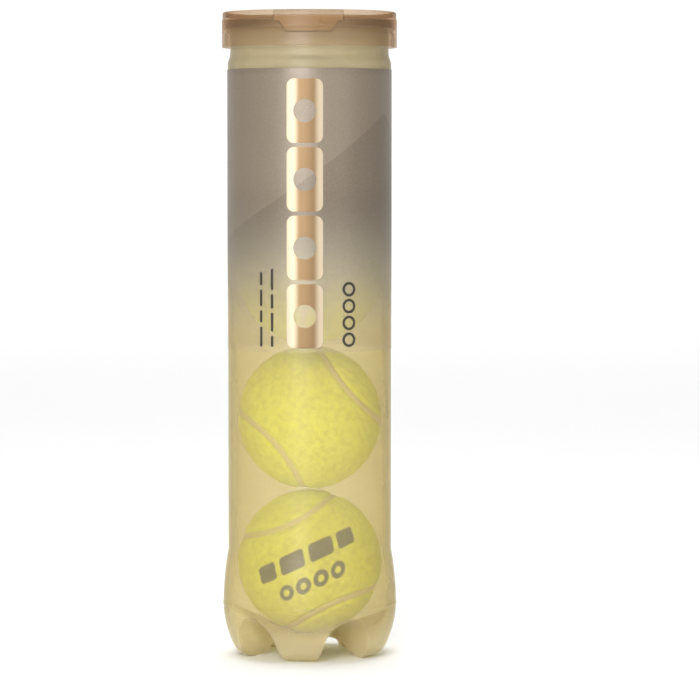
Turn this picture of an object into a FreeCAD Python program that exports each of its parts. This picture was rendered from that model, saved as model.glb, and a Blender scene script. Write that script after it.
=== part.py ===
import FreeCAD, Part

import math
import os

import Sketcher
from FreeCAD import Placement, Rotation, Vector

# A pressurised can of four tennis balls. +Z is up and the origin is at the middle of the base, on the
# surface that the five feet stand on. Every length is in millimetres and every angle in degrees.

SIZES = [
    # The blow-moulded jar
    ("body_radius", 37.48, "outer radius of the straight wall"),
    ("wall", 0.70, "thickness of the jar's wall"),
    ("neck_radius", 36.30, "outer radius of the neck"),
    ("bulge_radius", 39.85, "largest outer radius of the petaloid base"),
    ("bulge_height", 24.35, "height of the base's largest radius"),
    ("bulge_top", 48.85, "height where the bulge runs into the straight wall"),
    ("heel_height", 6.05, "height where the flank of a foot turns into its heel"),
    ("flank_curve", 45.0, "radius of the arc down the flank of a foot"),
    ("heel_curve", 9.5, "radius of the arc from the flank round to the pad"),
    ("bulge_curve", 140.0, "radius of the arc from the bulge up to the straight wall"),
    ("pad_outer", 29.4, "outer radius of the ring that holds the flat pads of the feet"),
    ("pad_inner", 26.40, "inner radius of that ring"),
    ("base_lift", 6.7, "height of the base's centre above the feet"),
    ("valley_angle", 4.0, "slope of a valley's walls from the vertical"),
    ("valley_round", 11.6, "radius of a valley's roof"),
    ("valley_rise", 17.4, "slope of a valley's roof, outwards and up"),
    ("foot_count", 5.0, "number of feet"),
    ("foot_turn", 7.0, "angle from the front to the nearest foot, towards the left"),
    ("shoulder_bottom", 271.05, "height where the shoulder begins"),
    ("shoulder_top", 276.85, "height where the neck begins"),
    ("shoulder_curve", 7.30, "radius of both arcs of the shoulder"),
    ("flange_bottom", 288.75, "height of the mouth flange's lower face"),
    ("flange_thick", 0.70, "thickness of the mouth flange"),
    ("flange_radius", 37.30, "outer radius of the mouth flange"),
    # The printed film
    ("label_bottom", 141.15, "height of the film's lower edge"),
    ("label_top", 269.1, "height of the film's upper edge"),
    ("label_thick", 0.30, "thickness of the film with its glue"),
    # The aluminium end
    ("sheet", 0.30, "thickness of the aluminium"),
    ("seam_radius", 38.00, "outer radius of the double seam"),
    ("seam_bottom", 287.75, "height of the double seam's lower edge"),
    ("seam_top", 291.55, "height of the double seam's top"),
    ("seam_curve", 0.90, "radius of the double seam's rounded top"),
    ("hook_gap", 0.15, "gap between the neck and the seam's hook under the flange"),
    ("compound_gap", 0.20, "gap between the chuck wall and the sealing compound"),
    ("chuck_radius", 35.45, "outer radius of the wall that drops inside the neck"),
    ("sink_bottom", 284.15, "height of the countersink's lowest face"),
    ("sink_radius", 34.10, "inner radius of the countersink's trough"),
    ("panel_bottom", 285.85, "height of the tear-off panel's lower face"),
    ("opening_radius", 33.75, "radius of the opening that the panel leaves"),
    ("score_gap", 0.15, "gap at the scored line round the panel"),
    ("bead_radius", 27.0, "radius of the stiffening bead in the panel"),
    ("bead_width", 3.0, "width of the stiffening bead"),
    ("bead_height", 0.60, "rise of the stiffening bead"),
    ("bead_ramp", 0.60, "width of each sloping side of the stiffening bead"),
    ("rivet_place", 20.0, "distance of the rivet from the middle, towards the front"),
    ("rivet_radius", 2.30, "radius of the rivet's button"),
    ("rivet_height", 1.60, "rise of the rivet above the panel"),
    # The ring-pull
    ("tab_thick", 1.10, "thickness of the curled ring-pull"),
    ("tab_nose", 25.6, "distance of the nose's tip from the middle, towards the front"),
    ("tab_nose_round", 5.5, "radius of the nose"),
    ("tab_ring_round", 9.0, "radius of the ring end"),
    ("tab_length", 29.0, "length over all"),
    ("tab_hole", 6.2, "radius of the finger hole"),
    ("tab_slot", 3.0, "radius of the hole round the rivet"),
    ("tab_lift", 0.10, "gap between the panel and the ring-pull"),
    # The overcap
    ("lid_radius", 40.10, "outer radius of the skirt"),
    ("lid_rim_radius", 39.80, "outer radius of the rim above the skirt"),
    ("lid_bottom", 279.2, "height of the skirt's lower edge"),
    ("lid_top", 295.35, "height of the rim's top"),
    ("lid_step", 292.15, "height where the skirt steps in to the rim"),
    ("lid_wall", 1.15, "thickness of the skirt"),
    ("lid_rim_wall", 1.30, "thickness of the rim"),
    ("lid_disc_bottom", 291.85, "height of the top disc's lower face"),
    ("lid_disc", 1.20, "thickness of the top disc"),
    ("lid_corner", 0.80, "radius of the rim's rounded corner"),
    ("bead_bottom", 285.45, "height of the snap bead's lower edge"),
    ("bead_top", 287.45, "height of the snap bead's upper edge"),
    ("bead_inner", 38.30, "inner radius of the snap bead"),
    ("snap_ramp", 0.50, "height of the snap bead's slopes and of the skirt's step"),
    ("thumb_proud", 0.45, "how far the thumb tab stands out from the skirt"),
    ("thumb_top_width", 32.0, "width of the thumb tab's upper block"),
    ("thumb_mid_width", 27.5, "width of the thumb tab where it starts to narrow"),
    ("thumb_low_width", 20.5, "width of the thumb tab's lower edge"),
    ("thumb_mid", 290.25, "height where the thumb tab starts to narrow"),
    ("thumb_low", 285.35, "height of the thumb tab's lower edge"),
    ("thumb_high", 294.85, "height of the thumb tab's upper edge"),
    # The balls
    ("ball_radius", 33.20, "outer radius of the felt"),
    ("core_radius", 30.00, "outer radius of the rubber core"),
    ("core_wall", 3.30, "thickness of the rubber core"),
    ("seam_half_width", 1.50, "half the width of the seam between the felt panels"),
    ("seam_sink", 0.60, "depth of the seam below the felt"),
    ("waist_angle", 39.8, "angle from the middle of a felt panel's waist to the seam"),
    ("first_ball", 42.8, "height of the lowest ball's centre"),
    ("ball_pitch", 66.70, "distance from one ball's centre to the next"),
]

# Turns of the four balls, lowest first: (lean of the panel's long axis from the level, turn about the
# can's axis, tilt of the waist up or down). The waist of the first felt panel faces the front at zero.
BALL_TURNS = [
    (25.0, 0.0, 2.0),
    (-50.0, 3.0, 3.0),
    (35.0, 140.0, 10.0),
    (-70.0, 70.0, -25.0),
]

FULL_TURN = 360.0
# How far a tool that cuts or keeps part of a shape reaches past it, and the small overlap of two
# shapes that are fused.
REACH = 60.0
MARGIN = 1.0
OVERLAP = 0.2
# A valley's outline runs this far below the middle of the base.
VALLEY_DEPTH = 24.0
# The pads narrow as the wall is moved inwards, by this share of the move.
PAD_SHARE = 0.6
# The ring-pull's ends are a little flatter than half circles.
FLATTER = 1.03


class Size:
    """A length that keeps both its number and the spreadsheet expression that gives it."""

    def __init__(self, text, value):
        self.text = text
        self.value = value

    def join(self, sign, other, value):
        after = other.text if isinstance(other, Size) else repr(float(other))
        return Size(f"({self.text} {sign} {after})", value)

    def __add__(self, other):
        return self.join("+", other, self.value + number(other))

    def __sub__(self, other):
        return self.join("-", other, self.value - number(other))

    def __mul__(self, other):
        return self.join("*", other, self.value * number(other))

    def __truediv__(self, other):
        return self.join("/", other, self.value / number(other))

    def __neg__(self):
        return Size(f"(0 - {self.text})", -self.value)


def number(thing):
    """The plain number behind a Size, or the number itself."""
    return thing.value if isinstance(thing, Size) else float(thing)


def fixed(value):
    """A Size for a constant that no cell drives, such as the axis at zero."""
    return Size(repr(float(value)), float(value))


doc = FreeCAD.newDocument("tennis_ball_can")
sheet = doc.addObject("Spreadsheet::Sheet", "sizes")
for row, (alias, value, note) in enumerate(SIZES, start=1):
    sheet.set(f"A{row}", str(value))
    sheet.setAlias(f"A{row}", alias)
    sheet.set(f"B{row}", note)
doc.recompute()

D = {alias: Size(f"sizes.{alias}", value) for alias, value, note in SIZES}
ZERO = fixed(0.0)
pieces = {}


# --- Sketch and body helpers ----------------------------------------------------------------------


def origin_feature(body, role):
    """One of a body's own origin planes or axes."""
    return next(f for f in body.Origin.OriginFeatures if f.Role == role)


def new_body(name):
    """An empty PartDesign body."""
    body = doc.addObject("PartDesign::Body", name)
    body.Label = name
    return body


def new_sketch(body, role, name, offset=None):
    """A sketch on one of the body's origin planes, moved or turned by an attachment offset."""
    sketch = body.newObject("Sketcher::SketchObject", name)
    sketch.AttachmentSupport = [(origin_feature(body, role), "")]
    sketch.MapMode = "FlatFace"
    if offset is not None:
        sketch.AttachmentOffset = offset
    return sketch


def pin_point(sketch, edge, end, x, y, name):
    """Hold the end of an edge at a distance from each axis, bound to the spreadsheet."""
    horizontal_axis, vertical_axis = -1, -2
    for label, axis, size in (("X", vertical_axis, x), ("Y", horizontal_axis, y)):
        if number(size) == 0.0:
            sketch.addConstraint(Sketcher.Constraint("PointOnObject", edge, end, axis))
            continue
        constraint = Sketcher.Constraint(f"Distance{label}", -1, 1, edge, end, number(size))
        index = sketch.addConstraint(constraint)
        sketch.renameConstraint(index, f"{name}_{label.lower()}")
        sketch.setExpression(f"Constraints.{name}_{label.lower()}", size.text)


def outline(sketch, points):
    """A closed outline through points (x, y, curve). The curve of a point shapes the edge to the next
    point: None for a line, or (radius, side) for an arc whose centre is on the left (1) or right (-1)
    of the way from this point to the next."""
    count = len(points)
    starts = []
    for i in range(count):
        x0, y0, curve = points[i]
        x1, y1, unused = points[(i + 1) % count]
        a = Vector(number(x0), number(y0), 0)
        b = Vector(number(x1), number(y1), 0)
        if curve is None:
            sketch.addGeometry(Part.LineSegment(a, b), False)
            starts.append(1)
            continue
        radius, side = curve
        chord = b - a
        reach = math.sqrt(number(radius) ** 2 - chord.Length**2 / 4)
        left = Vector(-chord.y, chord.x, 0).normalize()
        centre = (a + b) * 0.5 + left * (side * reach)
        circle = Part.Circle(centre, Vector(0, 0, 1), number(radius))
        first, last = (a, b) if side > 0 else (b, a)
        angles = [math.atan2(p.y - centre.y, p.x - centre.x) for p in (first, last)]
        sketch.addGeometry(Part.ArcOfCircle(circle, angles[0], angles[1]), False)
        starts.append(1 if side > 0 else 2)
    for i in range(count):
        after = (i + 1) % count
        here_end = 3 - starts[i]
        sketch.addConstraint(Sketcher.Constraint("Coincident", i, here_end, after, starts[after]))
    for i in range(count):
        x, y, curve = points[i]
        pin_point(sketch, i, starts[i], x, y, f"p{i}")
        if curve is not None:
            index = sketch.addConstraint(Sketcher.Constraint("Radius", i, number(curve[0])))
            sketch.renameConstraint(index, f"r{i}")
            sketch.setExpression(f"Constraints.r{i}", curve[0].text)


def circle(sketch, x, y, radius, name):
    """A circle with its centre and radius bound to the spreadsheet."""
    shape = Part.Circle(Vector(number(x), number(y), 0), Vector(0, 0, 1), number(radius))
    edge = sketch.addGeometry(shape, False)
    pin_point(sketch, edge, 3, x, y, name)
    index = sketch.addConstraint(Sketcher.Constraint("Radius", edge, number(radius)))
    sketch.renameConstraint(index, f"{name}_radius")
    sketch.setExpression(f"Constraints.{name}_radius", radius.text)


def turned(name, points):
    """A body of revolution about Z from an outline of (radius, height, curve) points."""
    body = new_body(name)
    sketch = new_sketch(body, "XZ_Plane", f"{name}_profile")
    outline(sketch, points)
    turn = body.newObject("PartDesign::Revolution", f"{name}_turn")
    turn.Profile = sketch
    turn.ReferenceAxis = (sketch, ["V_Axis"])
    turn.Angle = FULL_TURN
    doc.recompute()
    return body


def keep(name, shape_object):
    """Name a sub-part and put it on the list of what is written."""
    shape_object.Label = name
    pieces[name] = shape_object
    return shape_object


# --- The jar --------------------------------------------------------------------------------------


def petaloid(name, inset):
    """The solid inside the jar's outer skin, moved inwards by inset: a turned form whose underside has
    five valleys, which leave five feet between them."""
    heel_lean = math.asin((D["bulge_height"].value - D["heel_height"].value) / D["flank_curve"].value)
    fall = D["flank_curve"] * (1 - math.cos(heel_lean))
    heel_r = D["bulge_radius"] - fall - inset * math.cos(heel_lean)
    heel_z = D["heel_height"] + inset * math.sin(heel_lean)
    pad_outer = D["pad_outer"] - inset * PAD_SHARE
    middle_r = (D["body_radius"] + D["neck_radius"]) / 2 - inset
    middle_z = (D["shoulder_bottom"] + D["shoulder_top"]) / 2
    points = [
        (ZERO, D["base_lift"] + inset, None),
        (D["pad_inner"], ZERO + inset, None),
        (pad_outer, ZERO + inset, (D["heel_curve"] - inset, 1)),
        (heel_r, heel_z, (D["flank_curve"] - inset, 1)),
        (D["bulge_radius"] - inset, D["bulge_height"], (D["bulge_curve"] - inset, 1)),
        (D["body_radius"] - inset, D["bulge_top"], None),
        (D["body_radius"] - inset, D["shoulder_bottom"], (D["shoulder_curve"] - inset, 1)),
        (middle_r, middle_z, (D["shoulder_curve"] + inset, -1)),
        (D["neck_radius"] - inset, D["shoulder_top"], None),
    ]
    mouth = D["flange_bottom"] + D["flange_thick"]
    if inset.value > 0:
        points += [(D["neck_radius"] - inset, mouth + MARGIN, None), (ZERO, mouth + MARGIN, None)]
    else:
        points += [
            (D["neck_radius"], D["flange_bottom"], None),
            (D["flange_radius"], D["flange_bottom"], None),
            (D["flange_radius"], mouth, None),
            (ZERO, mouth, None),
        ]
    body = turned(name, points)
    before = body.Shape.Volume

    # One valley: a tunnel with a round roof and steep walls, run outwards and upwards from the axis, and
    # lifted by the inset so that the walls of the jar keep their thickness.
    slope = math.radians(D["valley_angle"].value)
    offset = Placement(Vector(0, 0, 0), Rotation(Vector(1, 0, 0), -D["valley_rise"].value))
    sketch = new_sketch(body, "XZ_Plane", f"{name}_valley_outline", offset)
    roof_radius = D["valley_round"] + inset
    roof = D["base_lift"] + inset - roof_radius
    shoulder_x = roof_radius * math.cos(slope)
    shoulder_z = roof + roof_radius * math.sin(slope)
    foot_x = shoulder_x + (shoulder_z + VALLEY_DEPTH) * math.tan(slope)
    outline(
        sketch,
        [
            (-foot_x, fixed(-VALLEY_DEPTH), None),
            (foot_x, fixed(-VALLEY_DEPTH), None),
            (shoulder_x, shoulder_z, (roof_radius, 1)),
            (-shoulder_x, shoulder_z, None),
        ],
    )
    valley = body.newObject("PartDesign::Pocket", f"{name}_valley")
    valley.Profile = sketch
    valley.Length = REACH
    valley.Reversed = True
    doc.recompute()
    after = body.Shape.Volume
    if after >= before:
        raise RuntimeError(f"the valley of {name} cuts nothing")
    ring = body.newObject("PartDesign::PolarPattern", f"{name}_valleys")
    ring.Originals = [valley]
    ring.Axis = (origin_feature(body, "Z_Axis"), [""])
    ring.Angle = FULL_TURN
    ring.setExpression("Occurrences", "sizes.foot_count")
    body.Tip = ring
    doc.recompute()
    if body.Shape.Volume >= after:
        raise RuntimeError(f"the valleys of {name} were not repeated")
    return body


def slab(name, jar, low, high):
    """The part of the jar between two heights, as a sub-part."""
    tool = doc.addObject("Part::Cylinder", f"{name}_slab")
    tool.setExpression("Radius", (D["bulge_radius"] + MARGIN).text)
    tool.setExpression("Placement.Base.z", low.text)
    tool.setExpression("Height", (high - low).text)
    part = doc.addObject("Part::Common", name)
    part.Base = jar
    part.Tool = tool
    keep(name, part)


def make_jar():
    """The jar: the outer form less the inner one, turned so that one foot is near the front. The one
    moulding is kept as three sub-parts: the petaloid base, the straight wall and the neck."""
    outer = petaloid("jar_outside", ZERO)
    inner = petaloid("jar_inside", D["wall"])
    jar = doc.addObject("Part::Cut", "jar")
    jar.Base = outer
    jar.Tool = inner
    # A foot points backwards at no turn.
    turn = fixed(FULL_TURN / 2) - D["foot_turn"]
    jar.Placement = Placement(Vector(0, 0, 0), Rotation(Vector(0, 0, 1), turn.value))
    jar.setExpression("Placement.Rotation.Angle", turn.text)
    slab("jar_base", jar, ZERO - MARGIN, D["bulge_top"])
    slab("jar_wall", jar, D["bulge_top"], D["shoulder_bottom"])
    slab("jar_neck", jar, D["shoulder_bottom"], D["seam_top"])
    doc.recompute()


def make_label():
    """The film, a plain sleeve on the straight wall."""
    inner = D["body_radius"]
    outer = inner + D["label_thick"]
    points = [
        (inner, D["label_bottom"], None),
        (outer, D["label_bottom"], None),
        (outer, D["label_top"], None),
        (inner, D["label_top"], None),
    ]
    keep("label_sleeve", turned("label_sleeve", points))


# --- The aluminium end ----------------------------------------------------------------------------


def make_end_ring():
    """The double seam, the chuck wall, the countersink and the lip, as one thin turned section."""
    sheet_thick = D["sheet"]
    seam_in = D["seam_radius"] - sheet_thick
    wall_out = D["chuck_radius"]
    wall_in = wall_out - sheet_thick
    hook_in = D["neck_radius"] + D["hook_gap"]
    arch = D["seam_curve"]
    lip_top = D["panel_bottom"] + sheet_thick
    points = [
        (hook_in, D["seam_bottom"], None),
        (D["seam_radius"], D["seam_bottom"], None),
        (D["seam_radius"], D["seam_top"] - arch, (arch, 1)),
        (D["seam_radius"] - arch, D["seam_top"], None),
        (wall_in + arch, D["seam_top"], (arch, 1)),
        (wall_in, D["seam_top"] - arch, None),
        (wall_in, D["sink_bottom"] + sheet_thick, None),
        (D["sink_radius"] + sheet_thick, D["sink_bottom"] + sheet_thick, None),
        (D["sink_radius"] + sheet_thick, lip_top, None),
        (D["opening_radius"], lip_top, None),
        (D["opening_radius"], D["panel_bottom"], None),
        (D["sink_radius"], D["panel_bottom"], None),
        (D["sink_radius"], D["sink_bottom"], None),
        (wall_out, D["sink_bottom"], None),
        (wall_out, D["seam_top"] - arch, None),
        (seam_in, D["seam_top"] - arch, None),
        (seam_in, D["seam_bottom"] + sheet_thick, None),
        (hook_in, D["seam_bottom"] + sheet_thick, None),
    ]
    keep("end_ring", turned("end_ring", points))


def make_seam_compound():
    """The sealing ring between the flange and the roof of the double seam."""
    bottom = D["flange_bottom"] + D["flange_thick"]
    top = D["seam_top"] - D["seam_curve"]
    inner = D["chuck_radius"] + D["compound_gap"]
    points = [
        (inner, bottom, None),
        (D["flange_radius"], bottom, None),
        (D["flange_radius"], top, None),
        (inner, top, None),
    ]
    keep("seam_compound", turned("seam_compound", points))


def make_end_panel():
    """The tear-off panel, turned with its stiffening bead, and the rivet's button on top."""
    rim = D["opening_radius"] - D["score_gap"]
    low = D["panel_bottom"]
    high = low + D["sheet"]
    half = D["bead_width"] / 2
    bead_low = D["bead_radius"] - half
    bead_high = D["bead_radius"] + half
    rise = D["bead_height"]
    ramp = D["bead_ramp"]
    points = [
        (ZERO, low, None),
        (bead_low, low, None),
        (bead_low + ramp, low + rise, None),
        (bead_high - ramp, low + rise, None),
        (bead_high, low, None),
        (rim, low, None),
        (rim, high, None),
        (bead_high, high, None),
        (bead_high - ramp, high + rise, None),
        (bead_low + ramp, high + rise, None),
        (bead_low, high, None),
        (ZERO, high, None),
    ]
    body = turned("end_panel", points)
    offset = Placement(Vector(0, 0, high.value), Rotation())
    sketch = new_sketch(body, "XY_Plane", "rivet_outline", offset)
    sketch.setExpression("AttachmentOffset.Base.z", high.text)
    circle(sketch, ZERO, -D["rivet_place"], D["rivet_radius"], "rivet")
    rivet = body.newObject("PartDesign::Pad", "rivet")
    rivet.Profile = sketch
    rivet.setExpression("Length", D["rivet_height"].text)
    body.Tip = rivet
    doc.recompute()
    keep("end_panel", body)


def make_pull_tab():
    """The ring-pull: a flat drop shape with a finger hole at one end and a hole round the rivet at the
    other, whose nose lies over the scored line at the front."""
    body = new_body("pull_tab")
    base = D["panel_bottom"] + D["sheet"] + D["tab_lift"]
    sketch = new_sketch(body, "XY_Plane", "tab_outline", Placement(Vector(0, 0, base.value), Rotation()))
    sketch.setExpression("AttachmentOffset.Base.z", base.text)
    nose_r = D["tab_nose_round"]
    ring_r = D["tab_ring_round"]
    nose_y = nose_r - D["tab_nose"]
    ring_y = D["tab_length"] - D["tab_nose"] - ring_r
    outline(
        sketch,
        [
            (nose_r, nose_y, None),
            (ring_r, ring_y, (ring_r * FLATTER, 1)),
            (-ring_r, ring_y, None),
            (-nose_r, nose_y, (nose_r * FLATTER, 1)),
        ],
    )
    circle(sketch, ZERO, ring_y, D["tab_hole"], "finger_hole")
    circle(sketch, ZERO, -D["rivet_place"], D["tab_slot"], "rivet_hole")
    tab = body.newObject("PartDesign::Pad", "tab_plate")
    tab.Profile = sketch
    tab.setExpression("Length", D["tab_thick"].text)
    doc.recompute()
    keep("pull_tab", body)


# --- The overcap ----------------------------------------------------------------------------------


def make_lid():
    """The overcap: a turned cap with a recessed disc, a rim and a snap bead, and the thumb tab."""
    inner = D["lid_radius"] - D["lid_wall"]
    corner = D["lid_corner"]
    disc_top = D["lid_disc_bottom"] + D["lid_disc"]
    rim_in = D["lid_rim_radius"] - D["lid_rim_wall"]
    ramp = D["snap_ramp"]
    points = [
        (ZERO, D["lid_disc_bottom"], None),
        (inner, D["lid_disc_bottom"], None),
        (inner, D["bead_top"], None),
        (D["bead_inner"], D["bead_top"] - ramp, None),
        (D["bead_inner"], D["bead_bottom"] + ramp, None),
        (inner, D["bead_bottom"], None),
        (inner, D["lid_bottom"], None),
        (D["lid_radius"], D["lid_bottom"], None),
        (D["lid_radius"], D["lid_step"] - ramp, None),
        (D["lid_rim_radius"], D["lid_step"], None),
        (D["lid_rim_radius"], D["lid_top"] - corner, (corner, 1)),
        (D["lid_rim_radius"] - corner, D["lid_top"], None),
        (rim_in, D["lid_top"], None),
        (rim_in, disc_top, None),
        (ZERO, disc_top, None),
    ]
    cap = turned("cap", points)

    # The thumb tab: the part of a shell round the skirt that a wedge-shaped outline cuts out.
    proud = D["lid_radius"] + D["thumb_proud"]
    shell = [
        (inner + OVERLAP, D["thumb_low"] - MARGIN, None),
        (proud, D["thumb_low"] - MARGIN, None),
        (proud, D["thumb_high"] + OVERLAP, None),
        (inner + OVERLAP, D["thumb_high"] + OVERLAP, None),
    ]
    ring = turned("thumb_ring", shell)
    wedge = new_body("thumb_wedge")
    sketch = new_sketch(wedge, "XZ_Plane", "thumb_outline")
    widths = [
        (D["thumb_low_width"] / 2, D["thumb_low"]),
        (D["thumb_mid_width"] / 2, D["thumb_mid"]),
        (D["thumb_top_width"] / 2, D["thumb_mid"]),
        (D["thumb_top_width"] / 2, D["thumb_high"]),
    ]
    right = [(width, height, None) for width, height in widths]
    left = [(-width, height, None) for width, height in reversed(widths)]
    outline(sketch, right + left)
    block = wedge.newObject("PartDesign::Pad", "thumb_block")
    block.Profile = sketch
    block.Length = REACH
    doc.recompute()
    if wedge.Shape.BoundBox.YMin > -MARGIN:
        raise RuntimeError("the thumb tab's wedge points away from the front")
    thumb = doc.addObject("Part::Common", "thumb_tab")
    thumb.Base = ring
    thumb.Tool = wedge
    lid = doc.addObject("Part::Fuse", "lid")
    lid.Base = cap
    lid.Tool = thumb
    doc.recompute()
    keep("lid", lid)


# --- The balls ------------------------------------------------------------------------------------


def seam_frame(angle):
    """The seam's middle line on a sphere of radius one: its point, and the way across it.

    The line is (a cos t + b cos 3t, a sin t - b sin 3t, 2 sqrt(ab) sin 2t) with a + b = 1, which lies
    on the sphere for every a. The waist angle sets a."""
    a = (1 + math.sin(math.radians(D["waist_angle"].value))) / 2
    b = 1 - a
    c = 2 * math.sqrt(a * b)
    point = Vector(
        a * math.cos(angle) + b * math.cos(3 * angle),
        a * math.sin(angle) - b * math.sin(3 * angle),
        c * math.sin(2 * angle),
    )
    along = Vector(
        -a * math.sin(angle) - 3 * b * math.sin(3 * angle),
        a * math.cos(angle) - 3 * b * math.cos(3 * angle),
        2 * c * math.cos(2 * angle),
    ).normalize()
    return point.normalize(), point.cross(along).normalize()


def seam_wall_curves(radius, steps=64):
    """The two edges of the seam on a sphere of this radius, as closed splines."""
    reach = D["seam_half_width"].value / D["ball_radius"].value
    sides = []
    for side in (1, -1):
        points = []
        for step in range(steps):
            point, across = seam_frame(2 * math.pi * step / steps)
            points.append((point * math.cos(reach) + across * (side * math.sin(reach))) * radius)
        curve = Part.BSplineCurve()
        curve.interpolate(Points=points, PeriodicFlag=True)
        sides.append(curve.toShape())
    return sides


def seam_cutter():
    """A closed band that follows the seam, deeper than the felt and standing out beyond it."""
    inner = seam_wall_curves(D["core_radius"].value - MARGIN)
    outer = seam_wall_curves(D["ball_radius"].value + MARGIN)
    faces = [
        Part.makeRuledSurface(inner[0], outer[0]),
        Part.makeRuledSurface(outer[0], outer[1]),
        Part.makeRuledSurface(outer[1], inner[1]),
        Part.makeRuledSurface(inner[1], inner[0]),
    ]
    shell = Part.Shell([face for ruled in faces for face in ruled.Faces])
    shell.sewShape()
    solid = Part.Solid(Part.Shell(shell.Faces))
    if solid.Volume < 0:
        solid.reverse()
    return solid


def felt_and_seam():
    """The two felt panels and the seam between them, on a ball at the origin with no turn."""
    cutter = seam_cutter()
    # A sphere has a pole at each end of its axis and an edge between them. Turned like this, both poles
    # and most of that edge lie well inside a panel.
    off_pole = Rotation(Vector(0, 0, 1), 45.0).multiply(Rotation(Vector(1, 0, 0), 90.0))
    core, felt_ball, seam_ball = [
        Part.makeSphere(radius)
        for radius in (
            D["core_radius"].value,
            D["ball_radius"].value,
            D["ball_radius"].value - D["seam_sink"].value,
        )
    ]
    for sphere in (core, felt_ball, seam_ball):
        sphere.Placement = Placement(Vector(0, 0, 0), off_pole)
    shell = felt_ball.cut(core)
    low_shell = seam_ball.cut(core)
    panels = shell.cut(cutter).Solids
    seams = low_shell.common(cutter).Solids
    if len(panels) != 2 or len(seams) != 1:
        raise RuntimeError(f"the ball's cover has {len(panels)} panels and {len(seams)} seams")
    # The first panel is the one whose waist crosses the local +Z axis.
    tip = Vector(0, 0, D["ball_radius"].value - MARGIN)
    tolerance = 0.01
    panels.sort(key=lambda panel: not panel.isInside(tip, tolerance, True))
    return panels[0], panels[1], seams[0]


def ball_placement(index):
    """Where a ball sits, and how it is turned: its first waist, local +Z, faces the front."""
    lean, turn, tilt = BALL_TURNS[index]
    height = D["first_ball"].value + index * D["ball_pitch"].value
    level_axis = Rotation(Vector(0, 0, 1), 45.0)
    face_front = Rotation(Vector(1, 0, 0), 90.0)
    leaned = Rotation(Vector(0, 1, 0), -lean)
    tilted = Rotation(Vector(1, 0, 0), -tilt)
    turned_round = Rotation(Vector(0, 0, 1), turn)
    rotation = turned_round.multiply(tilted).multiply(leaned).multiply(face_front).multiply(level_axis)
    return Placement(Vector(0, 0, height), rotation)


def make_core_half(name, side, placement):
    """Half of the hollow rubber core: a quarter ring turned about the ball's own axis."""
    outer = D["core_radius"]
    inner = outer - D["core_wall"]
    if side > 0:
        points = [
            (inner, ZERO, None),
            (outer, ZERO, (outer, 1)),
            (ZERO, outer, None),
            (ZERO, inner, (inner, -1)),
        ]
    else:
        points = [
            (ZERO, -outer, (outer, 1)),
            (outer, ZERO, None),
            (inner, ZERO, (inner, -1)),
            (ZERO, -inner, None),
        ]
    body = turned(name, points)
    body.Placement = placement
    keep(name, body)


def make_balls():
    """Four balls in a stack, each with two core halves, two felt panels and a seam."""
    panel_a, panel_b, seam = felt_and_seam()
    for index in range(len(BALL_TURNS)):
        ball = f"ball_{index + 1}"
        placement = ball_placement(index)
        make_core_half(f"{ball}_core_lower", -1, placement)
        make_core_half(f"{ball}_core_upper", 1, placement)
        for part, shape in (("felt_a", panel_a), ("felt_b", panel_b), ("seam", seam)):
            feature = doc.addObject("Part::Feature", f"{ball}_{part}")
            feature.Shape = shape
            feature.Placement = placement
            keep(f"{ball}_{part}", feature)


# --- Building, checking and writing ---------------------------------------------------------------

make_jar()
make_label()
make_end_ring()
make_seam_compound()
make_end_panel()
make_pull_tab()
make_lid()
make_balls()
doc.recompute()

for thing in doc.Objects:
    if "Invalid" in thing.State or "Error" in thing.State:
        raise RuntimeError(f"{thing.Name} could not be computed: {thing.State}")
for name, thing in pieces.items():
    if thing.Shape.isNull() or not thing.Shape.isValid():
        raise RuntimeError(f"the shape of {name} is empty or not valid")

os.makedirs("parts", exist_ok=True)
for name, thing in pieces.items():
    thing.Shape.exportStep(f"parts/{thing.Label}.step")
    solids = len(thing.Shape.Solids)
    print(f"{name}: {solids} solid, {thing.Shape.Volume / 1000:.2f} cm3")
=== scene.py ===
"""The surfaces and finishes of a four-ball pressurised tennis ball can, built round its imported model."""

import math

import bpy
import numpy as np
from bpy.props import FloatProperty, FloatVectorProperty, PointerProperty
from mathutils import Matrix, Vector


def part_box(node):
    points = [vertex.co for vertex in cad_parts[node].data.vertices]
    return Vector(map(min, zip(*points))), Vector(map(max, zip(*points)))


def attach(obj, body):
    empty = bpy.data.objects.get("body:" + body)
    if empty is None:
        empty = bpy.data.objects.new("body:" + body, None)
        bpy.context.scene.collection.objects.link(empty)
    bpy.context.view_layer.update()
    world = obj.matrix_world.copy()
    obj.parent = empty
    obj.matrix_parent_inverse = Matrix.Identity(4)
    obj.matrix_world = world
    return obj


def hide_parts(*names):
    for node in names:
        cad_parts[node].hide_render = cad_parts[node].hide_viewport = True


bl_info = {
    "name": "Tennis Ball Can",
    "version": (1, 0, 0),
    "blender": (4, 5, 0),
    "location": "View3D > Sidebar > Ball Can",
    "description": "Surfaces and finishes of a four-ball pressurised tennis ball can",
    "category": "Add Mesh",
}

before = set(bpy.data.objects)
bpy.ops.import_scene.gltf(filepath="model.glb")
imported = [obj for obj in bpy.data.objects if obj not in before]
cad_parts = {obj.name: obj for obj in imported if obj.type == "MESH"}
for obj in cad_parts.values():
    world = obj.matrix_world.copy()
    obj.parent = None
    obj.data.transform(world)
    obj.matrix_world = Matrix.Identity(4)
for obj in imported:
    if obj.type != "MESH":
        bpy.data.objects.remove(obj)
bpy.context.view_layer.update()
MM = 0.001
NECK_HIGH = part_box("jar_neck")[1]
FILM_LOW, FILM_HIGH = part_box("label_sleeve")
SEAM_LOW, SEAM_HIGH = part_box("end_ring")
PANEL_LOW, PANEL_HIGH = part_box("end_panel")
TAB_LOW, TAB_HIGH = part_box("pull_tab")
LID_LOW, LID_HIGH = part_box("lid")
BALLS = ("ball_1", "ball_2", "ball_3", "ball_4")


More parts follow.
